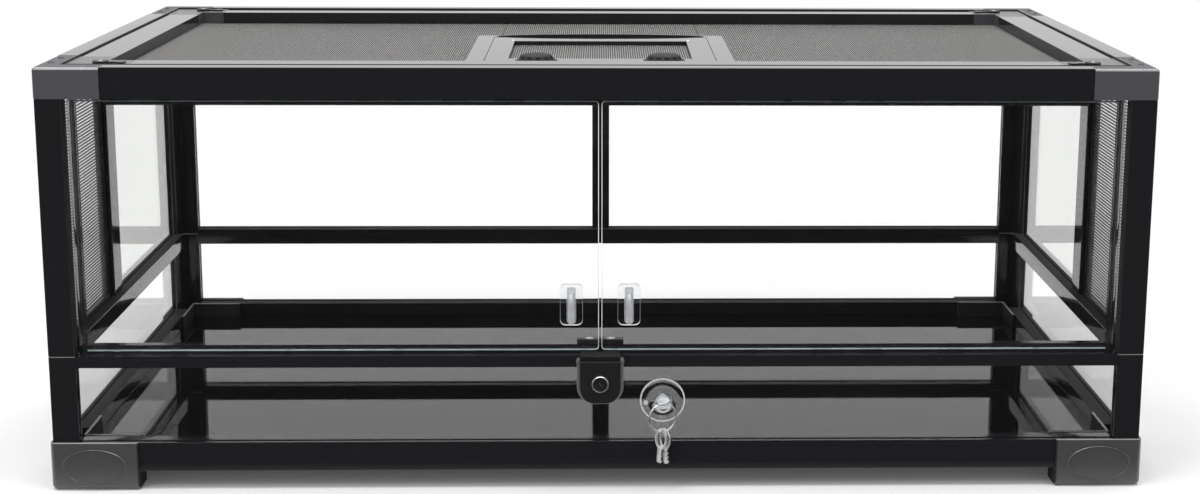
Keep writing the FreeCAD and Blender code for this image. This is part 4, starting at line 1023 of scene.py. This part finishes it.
cam = dress(lathe("lock_cylinder_cam", CAM_PROFILE, segments=24), nickel)
put(cam, lock_middle + CAM_PLACE, TO_FRONT)
stand_for(join([collar, cam], "lock_cylinder_collar"), "lock_cylinder")
add_to(plug, "lock_cylinder")
add_to(wafer, "lock_cylinder")
print("collar faces:", len(collar.data.polygons))

# %% [markdown]
# Two round ears with hollow ends, at the upper corners of the bezel, cover the screws that hold it.

# %% Ears of the bezel
EAR_PROFILE = [(2.2, 0), (2.2, 5.6), (1.8, 6), (1.1, 6), (0.9, 5.4), (0.3, 5.4)]
EAR_SINK = 1.6 * MM
low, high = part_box("lock_bezel")
for hand, x in zip(HANDS, (low.x + EAR_SINK, high.x - EAR_SINK)):
    ear = lathe(f"lock_bezel_ear_{hand}", EAR_PROFILE, segments=24)
    put(dress(ear, smoked), (x, high.y, high.z - EAR_SINK), TO_FRONT)
    add_to(ear, "lock_bezel")
print("ears:", len(HANDS))

# %% [markdown]
# ## Suction cup, ring and keys
#
# The spare keys hang on a clear suction cup on the lower pane. The cup is turned: a thin dome with a
# rolled rim and a nub with a neck. A hole through the nub takes the ring, and a small round tab near the
# rim helps to pull the cup off.

# %% Suction cup
RING_YAW = 20
RING_RADIUS = 12 * MM
EYE_RADIUS = 3.5 * MM
EYE_LENGTH = 30 * MM
CUP_PROFILE = [(1, 2.4), (10, 1.3), (16.6, 0), (18.6, 0), (19, 0.4), (19, 0.9), (18.5, 1.3), (17.8, 1.3)]
CUP_PROFILE += [(16.4, 1.2), (11, 2.4), (7.8, 3.6), (6.4, 5.2), (5.6, 7.2), (5.8, 8.6), (6.4, 9.6)]
CUP_PROFILE += [(6.5, 13.5), (6.1, 15.4), (5.0, 16.5), (3.2, 16.9), (0.6, 17)]
RIM_START = 17.6 * MM
NUB_RADIUS = 7 * MM
NUB_START = 5 * MM
NUB_SLOPE = 0.6
TAB_PROFILE = [(1.9, 0), (1.9, 0.7), (1.5, 1.1), (1.0, 1.1), (0.8, 0.6), (0.2, 0.6)]
TAB_PLACE = Vector((-14.2, -2.2, -1.8)) * MM
TAB_TURN = (90, 0, 20)
low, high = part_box("key_ring")
ring_middle = (low + high) / 2
low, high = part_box("suction_cup")
cup_middle = Vector(((low.x + high.x) / 2, high.y - AIR, (low.z + high.z) / 2))
cup = put(lathe("suction_cup_turned", CUP_PROFILE, segments=64), cup_middle, TO_FRONT)
sizes = {"vertices": 32, "radius": EYE_RADIUS, "depth": EYE_LENGTH, "rotation": UPRIGHTS[X]}
eye = start("eye", bpy.ops.mesh.primitive_cylinder_add, **sizes)
cut_away(cup, put(eye, ring_middle + Vector((0, 0, RING_RADIUS)), (0, 0, RING_YAW)))
smooth(cup, angle=40)


def from_axis(point):
    """How far a point is from the cup's axis."""
    return math.hypot(point.x - cup_middle.x, point.z - cup_middle.z)


def on_nub(middle, normal):
    """True on the sides of the nub."""
    forward = middle.y < cup_middle.y - NUB_START
    return forward and from_axis(middle) < NUB_RADIUS and abs(normal.y) < NUB_SLOPE


dress(cup, vinyl)
# Painted highlight: the cup's rolled rim is painted a pale frosted white.
repaint(cup, frosted_and_painted_highlight, lambda middle, normal: from_axis(middle) > RIM_START)
repaint(cup, milky, on_nub)
cup.visible_shadow = False
stand_for(cup, "suction_cup")
tab = lathe("suction_cup_tab", TAB_PROFILE, segments=24)
put(dress(tab, frosted_and_painted_highlight), cup_middle + TAB_PLACE, TAB_TURN)
add_to(tab, "suction_cup")
print("cup faces:", len(cup.data.polygons))

# %% [markdown]
# The ring is a split ring, two turns of flattened wire wound side by side. A small circle is the wire's
# section, and a screw modifier winds it twice round.

# %% Split ring
WIRE_ACROSS = 0.75 * MM
WIRE_FLAT = 0.42 * MM
RING_STEP = 0.82 * MM
section = {"vertices": 12, "radius": WIRE_ACROSS, "location": (RING_RADIUS, 0, 0), "rotation": UPRIGHTS[Y]}
split_ring = start("key_ring_wound", bpy.ops.mesh.primitive_circle_add, **section)
edit_all(split_ring)
bpy.ops.transform.resize(value=(1, 1, WIRE_FLAT / WIRE_ACROSS), center_override=(RING_RADIUS, 0, 0))
bpy.ops.object.mode_set(mode="OBJECT")
winding = {"iterations": 2, "screw_offset": RING_STEP, "steps": 64, "render_steps": 64}
apply_modifier(split_ring, "SCREW", axis="Z", use_merge_vertices=False, **winding)
edit_all(split_ring)
bpy.ops.mesh.fill_holes(sides=0)
leave_edit()
put(split_ring, (0, 0, -RING_STEP))
put(split_ring, ring_middle, (90, 0, RING_YAW))
smooth(split_ring, angle=50)
stand_for(dress(split_ring, nickel), "key_ring")
print("ring faces:", len(split_ring.data.polygons))

# %% [markdown]
# Each key has an oval bow with a long oval hole and a short blade with a groove down each side. The bow
# starts as a filled circle, squeezed and inset; the blade is a block whose sides are inset and pressed in,
# with notches on one edge.

# %% Keys
KEY_THICKNESS = 1.6 * MM
BOW_WIDE = 6.2 * MM
BOW_TALL = 9.3 * MM
BOW_DROP = 7.7 * MM
BOW_RIM = 2.1 * MM
BOW_EASE = 0.35 * MM
BLADE_HALF = Vector((2.6 * MM, KEY_THICKNESS / 2, 0))
BLADE_TOP = Vector((0, 0, -15.6)) * MM
BLADE_END = Vector((0, 0, -29)) * MM
BLADE_ROUND = 1.3 * MM
BLADE_EASE = 0.2 * MM
GROOVE_MARGIN = 1.4 * MM
GROOVE_DEPTH = 0.4 * MM
NOTCHES = 3
NOTCH_START = Vector((1.7 * MM, -KEY_THICKNESS, 3 * MM))
NOTCH_STEP = Vector((0, 0, 3.4)) * MM
NOTCH_SIZE = Vector((2, 3.2, 1.7)) * MM
KEY_YAW = -40
KEY_FAN = 6
KEY_HANG = 53.4 * MM
KEY_STEP = 1.0 * MM
sizes = {"vertices": 40, "radius": BOW_WIDE, "location": (0, KEY_THICKNESS / 2, -BOW_DROP)}
bow = start("key", bpy.ops.mesh.primitive_circle_add, fill_type="NGON", rotation=UPRIGHTS[Y], **sizes)
edit_all(bow)
bpy.ops.transform.resize(value=(1, 1, BOW_TALL / BOW_WIDE), center_override=(0, 0, -BOW_DROP))
bpy.ops.mesh.inset(thickness=BOW_RIM, depth=0)
bpy.ops.mesh.delete(type="FACE")
bpy.ops.mesh.select_all(action="SELECT")
bpy.ops.mesh.extrude_region_move(TRANSFORM_OT_translate={"value": (0, -KEY_THICKNESS, 0)})
leave_edit()
ease(bow, BOW_EASE)
blade = block("blade", BLADE_END - BLADE_HALF, BLADE_TOP + BLADE_HALF)
pick(blade, "EDGE", lambda middle, run: abs(run.y) > SQUARE_ON and middle.z < BLADE_END.z + MM)
bpy.ops.mesh.bevel(offset=BLADE_ROUND, segments=2)
pick(blade, "FACE", lambda middle, normal: abs(normal.y) > SQUARE_ON)
bpy.ops.mesh.inset(thickness=GROOVE_MARGIN, depth=-GROOVE_DEPTH, use_individual=True)
leave_edit()
for notch in range(NOTCHES):
    notch_low = BLADE_END + NOTCH_START + notch * NOTCH_STEP
    cut_away(blade, block("notch", notch_low, notch_low + NOTCH_SIZE))
ease(blade, BLADE_EASE, segments=1)
key = join([bow, blade], "key")
yaw = math.radians(KEY_YAW)
across = Vector((-math.sin(yaw), math.cos(yaw), 0)) * KEY_STEP
pair = []
for side in (-1, 1):
    hung = put(twin(key, "key_hung"), (0, 0, 0), (0, -side * KEY_FAN, 0))
    place = Vector((ring_middle.x, ring_middle.y, KEY_HANG)) + side * across
    pair.append(put(hung, place, (0, 0, KEY_YAW)))
bpy.data.objects.remove(key)
stand_for(dress(join(pair, "keys_grooved"), nickel), "keys")
print("keys:", len(pair))

# %% [markdown]
# ## Foot pads and the door stop
#
# The front of each front foot carries a plain raised oval. It is a flat disc, squeezed, with a thin rim
# left standing round a face that is pressed in a little. The stop behind the doors is held by two bright
# oval screws.

# %% Plain ovals
PAD_HALF = (27 * MM, 15.5 * MM)
PAD_RAISE = 0.9 * MM
PAD_LEVEL = 20.5 * MM
PAD_INSET = 36.5 * MM
STUD_HALF = (3.6 * MM, 2.6 * MM)
STUD_RAISE = 0.5 * MM
STUD_REACH = 9 * MM
OVAL_SUNK = -0.3
OVAL_SHOULDER = 0.4
OVAL_TAPER = 0.6
OVAL_RIM = 1.0 * MM
OVAL_STEP = 0.5 * MM
OVAL_HOLLOW = 0.8


def oval(name, middle, half, rise, turn=(0, 0, 0)):
    """A low oval disc with a rim, facing the front when it is turned there."""
    wide, tall = half[0] / MM, rise / MM
    outline = [(wide, OVAL_SUNK), (wide, OVAL_SHOULDER * tall), (wide - OVAL_TAPER, tall)]
    disc = lathe(name, outline, segments=64)
    pick(disc, "FACE", lambda middle, normal: normal.z > SQUARE_ON)
    bpy.ops.mesh.inset(thickness=OVAL_RIM, depth=0)
    bpy.ops.mesh.inset(thickness=OVAL_STEP, depth=-OVAL_HOLLOW * rise)
    leave_edit()
    disc.scale = (1, half[1] / half[0], 1)
    settle(disc)
    smooth(disc, angle=25)
    return put(disc, middle, turn)


for hand in HANDS:
    node = f"foot_front_{hand}"
    low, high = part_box(node)
    x = low.x + PAD_INSET if hand == "left" else high.x - PAD_INSET
    pad = oval(f"{node}_pad", (x, low.y, PAD_LEVEL), PAD_HALF, PAD_RAISE, TO_FRONT)
    add_to(dress(pad, foot_grey), node)
low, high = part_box("door_stop")
for hand, x in zip(HANDS, (-STUD_REACH, STUD_REACH)):
    stud = oval(f"door_stop_screw_{hand}", (x, (low.y + high.y) / 2, high.z), STUD_HALF, STUD_RAISE)
    add_to(dress(stud, nickel), "door_stop")
print("pads: 2, stop screws: 2")

# %% [markdown]
# ## The studio
#
# The object is lit by one broad lamp overhead, a small soft box and a soft surround. What a glossy black
# rail shows is what it mirrors, so the surround is white behind and above, and dim where the camera
# stands. The background itself is plain white for anything seen straight or through glass. A ray counts as
# mirrored once it has been reflected, because light that only passes through a pane must not find the dim
# side.

# %% Surround
WHITE = 1.0
SOFT_FILL = 0.6
CAMERA_SIDE = 0.03
DIM_CONE = (-0.92, -0.55)


def was_mirrored(tree, path):
    """1 for a ray that has been reflected, 0 for others."""
    test = add_node(tree, "Math", {1: 0.5}, "GREATER_THAN")
    link(tree, (path, "Glossy Depth", test, 0))
    return test, "Value"


def mix(tree, factor, low, high):
    """A node between two values, each a number or a node and its output."""
    node = add_node(tree, "Mix")
    for socket, value in zip(("Factor", "A", "B"), (factor, low, high)):
        if isinstance(value, float):
            node.inputs[socket].default_value = value
        else:
            link(tree, (*value, node, socket))
    return node, "Result"


def surround():
    """A world that is white to look at and to mirror, but dim to mirror on the camera's side."""
    world = bpy.data.worlds.new("studio")
    world.use_nodes = True
    tree = world.node_tree
    background = tree.nodes["Background"]
    background.inputs["Color"].default_value = (1, 1, 1, 1)
    path = add_node(tree, "LightPath")
    direction = add_node(tree, "TexCoord")
    split = add_node(tree, "SeparateXYZ")
    mirrored = add_range(tree, *DIM_CONE, CAMERA_SIDE, WHITE)
    link(tree, (direction, "Generated", split, "Vector"), (split, "Y", mirrored, "Value"))
    shiny = mix(tree, was_mirrored(tree, path), WHITE, (mirrored, "Result"))
    seen = mix(tree, (path, "Is Glossy Ray"), SOFT_FILL, shiny)
    seen = mix(tree, (path, "Is Transmission Ray"), seen, shiny)
    seen = mix(tree, (path, "Is Camera Ray"), seen, WHITE)
    link(tree, (*seen, background, "Strength"))
    return world


bpy.context.scene.world = surround()
print("surround ready")

# %% [markdown]
# The floor is pale and matt. Close to the object it takes the shadow, which a faint glow of its own lifts
# a little; further out it fades to the white of the background, so that there is no horizon. In a mirror
# the floor in front of the part is dim, as if a dark flag lay there, so that the lower rails stay black.
# Seen through glass it glows a little more, to make up for what the panes take.

# %% Floor
FLOOR_SIZE = 16
SHADOW_REACH = 0.55
FADE_REACH = 1.0
DEPTH_STRETCH = 1.7
FLAG_REACH = (-0.228, -0.28)
THROUGH_GLASS = 0.18
SHADOW_LIFT = 0.05
PAPER_GREY = (0.9, 0.9, 0.9, 1)


def paper_of():
    """The floor's paper: shadowed near the part, white further out, dim where it is mirrored in front."""
    paper = bpy.data.materials.new("paper")
    paper.use_nodes = True
    tree = paper.node_tree
    matt = tree.nodes["Principled BSDF"]
    matt.inputs["Base Color"].default_value = PAPER_GREY
    matt.inputs["Roughness"].default_value = 1
    matt.inputs["Specular IOR Level"].default_value = 0
    matt.inputs["Emission Strength"].default_value = SHADOW_LIFT
    path = add_node(tree, "LightPath")
    place = add_node(tree, "TexCoord")
    glow = add_node(tree, "Emission")
    brighter = add_node(tree, "Math", {1: THROUGH_GLASS, 2: WHITE}, "MULTIPLY_ADD")
    stretch = add_node(tree, "Mapping", {"Scale": (1, DEPTH_STRETCH, 1)})
    distance = add_node(tree, "VectorMath", operation="LENGTH")
    fade = add_range(tree, SHADOW_REACH, FADE_REACH)
    blend = add_node(tree, "MixShader")
    split = add_node(tree, "SeparateXYZ")
    in_front = add_range(tree, *FLAG_REACH)
    flagged = add_node(tree, "Math", operation="MULTIPLY")
    flag = add_node(tree, "Emission", {"Strength": CAMERA_SIDE})
    surface = add_node(tree, "MixShader")
    link(tree, (path, "Is Transmission Ray", brighter, 0), (brighter, "Value", glow, "Strength"))
    link(tree, (place, "Object", stretch, "Vector"), (stretch, "Vector", distance, 0))
    link(tree, (distance, "Value", fade, "Value"), (fade, "Result", blend, "Fac"))
    link(tree, (matt, "BSDF", blend, 1), (glow, "Emission", blend, 2))
    link(tree, (place, "Object", split, "Vector"), (split, "Y", in_front, "Value"))
    link(tree, (*was_mirrored(tree, path), flagged, 0), (in_front, "Result", flagged, 1))
    link(tree, (flagged, "Value", surface, "Fac"))
    link(tree, (blend, "Shader", surface, 1), (flag, "Emission", surface, 2))
    link(tree, (surface, "Shader", tree.nodes["Material Output"], "Surface"))
    return paper


ground = start("ground", bpy.ops.mesh.primitive_plane_add, size=FLOOR_SIZE)
dress(ground, paper_of())
print("floor ready")

# %% [markdown]
# The broad lamp hangs over the front of the lid, and the small box to the left of the camera gives the
# front faces a soft highlight.

# %% Lamps
LAMP_PLACE = (0, -0.3, 2.4)
LAMP_SIZE = (2.6, 1.2)
LAMP_POWER = 55
BOX_PLACE = Vector((-0.9, -1.3, 1.6))
BOX_AIM = Vector((0, -0.2, 0.15))
BOX_SIZE = 0.55
BOX_POWER = 5
bpy.ops.object.light_add(type="AREA", location=LAMP_PLACE)
lamp = bpy.context.object
lamp.data.shape = "RECTANGLE"
lamp.data.size, lamp.data.size_y = LAMP_SIZE
lamp.data.energy = LAMP_POWER
aim = (BOX_AIM - BOX_PLACE).to_track_quat("-Z", "Y").to_euler()
bpy.ops.object.light_add(type="AREA", location=BOX_PLACE, rotation=aim)
soft_box = bpy.context.object
soft_box.data.size = BOX_SIZE
soft_box.data.energy = BOX_POWER
bpy.context.scene.view_settings.view_transform = "Standard"
print("lamps: 2")
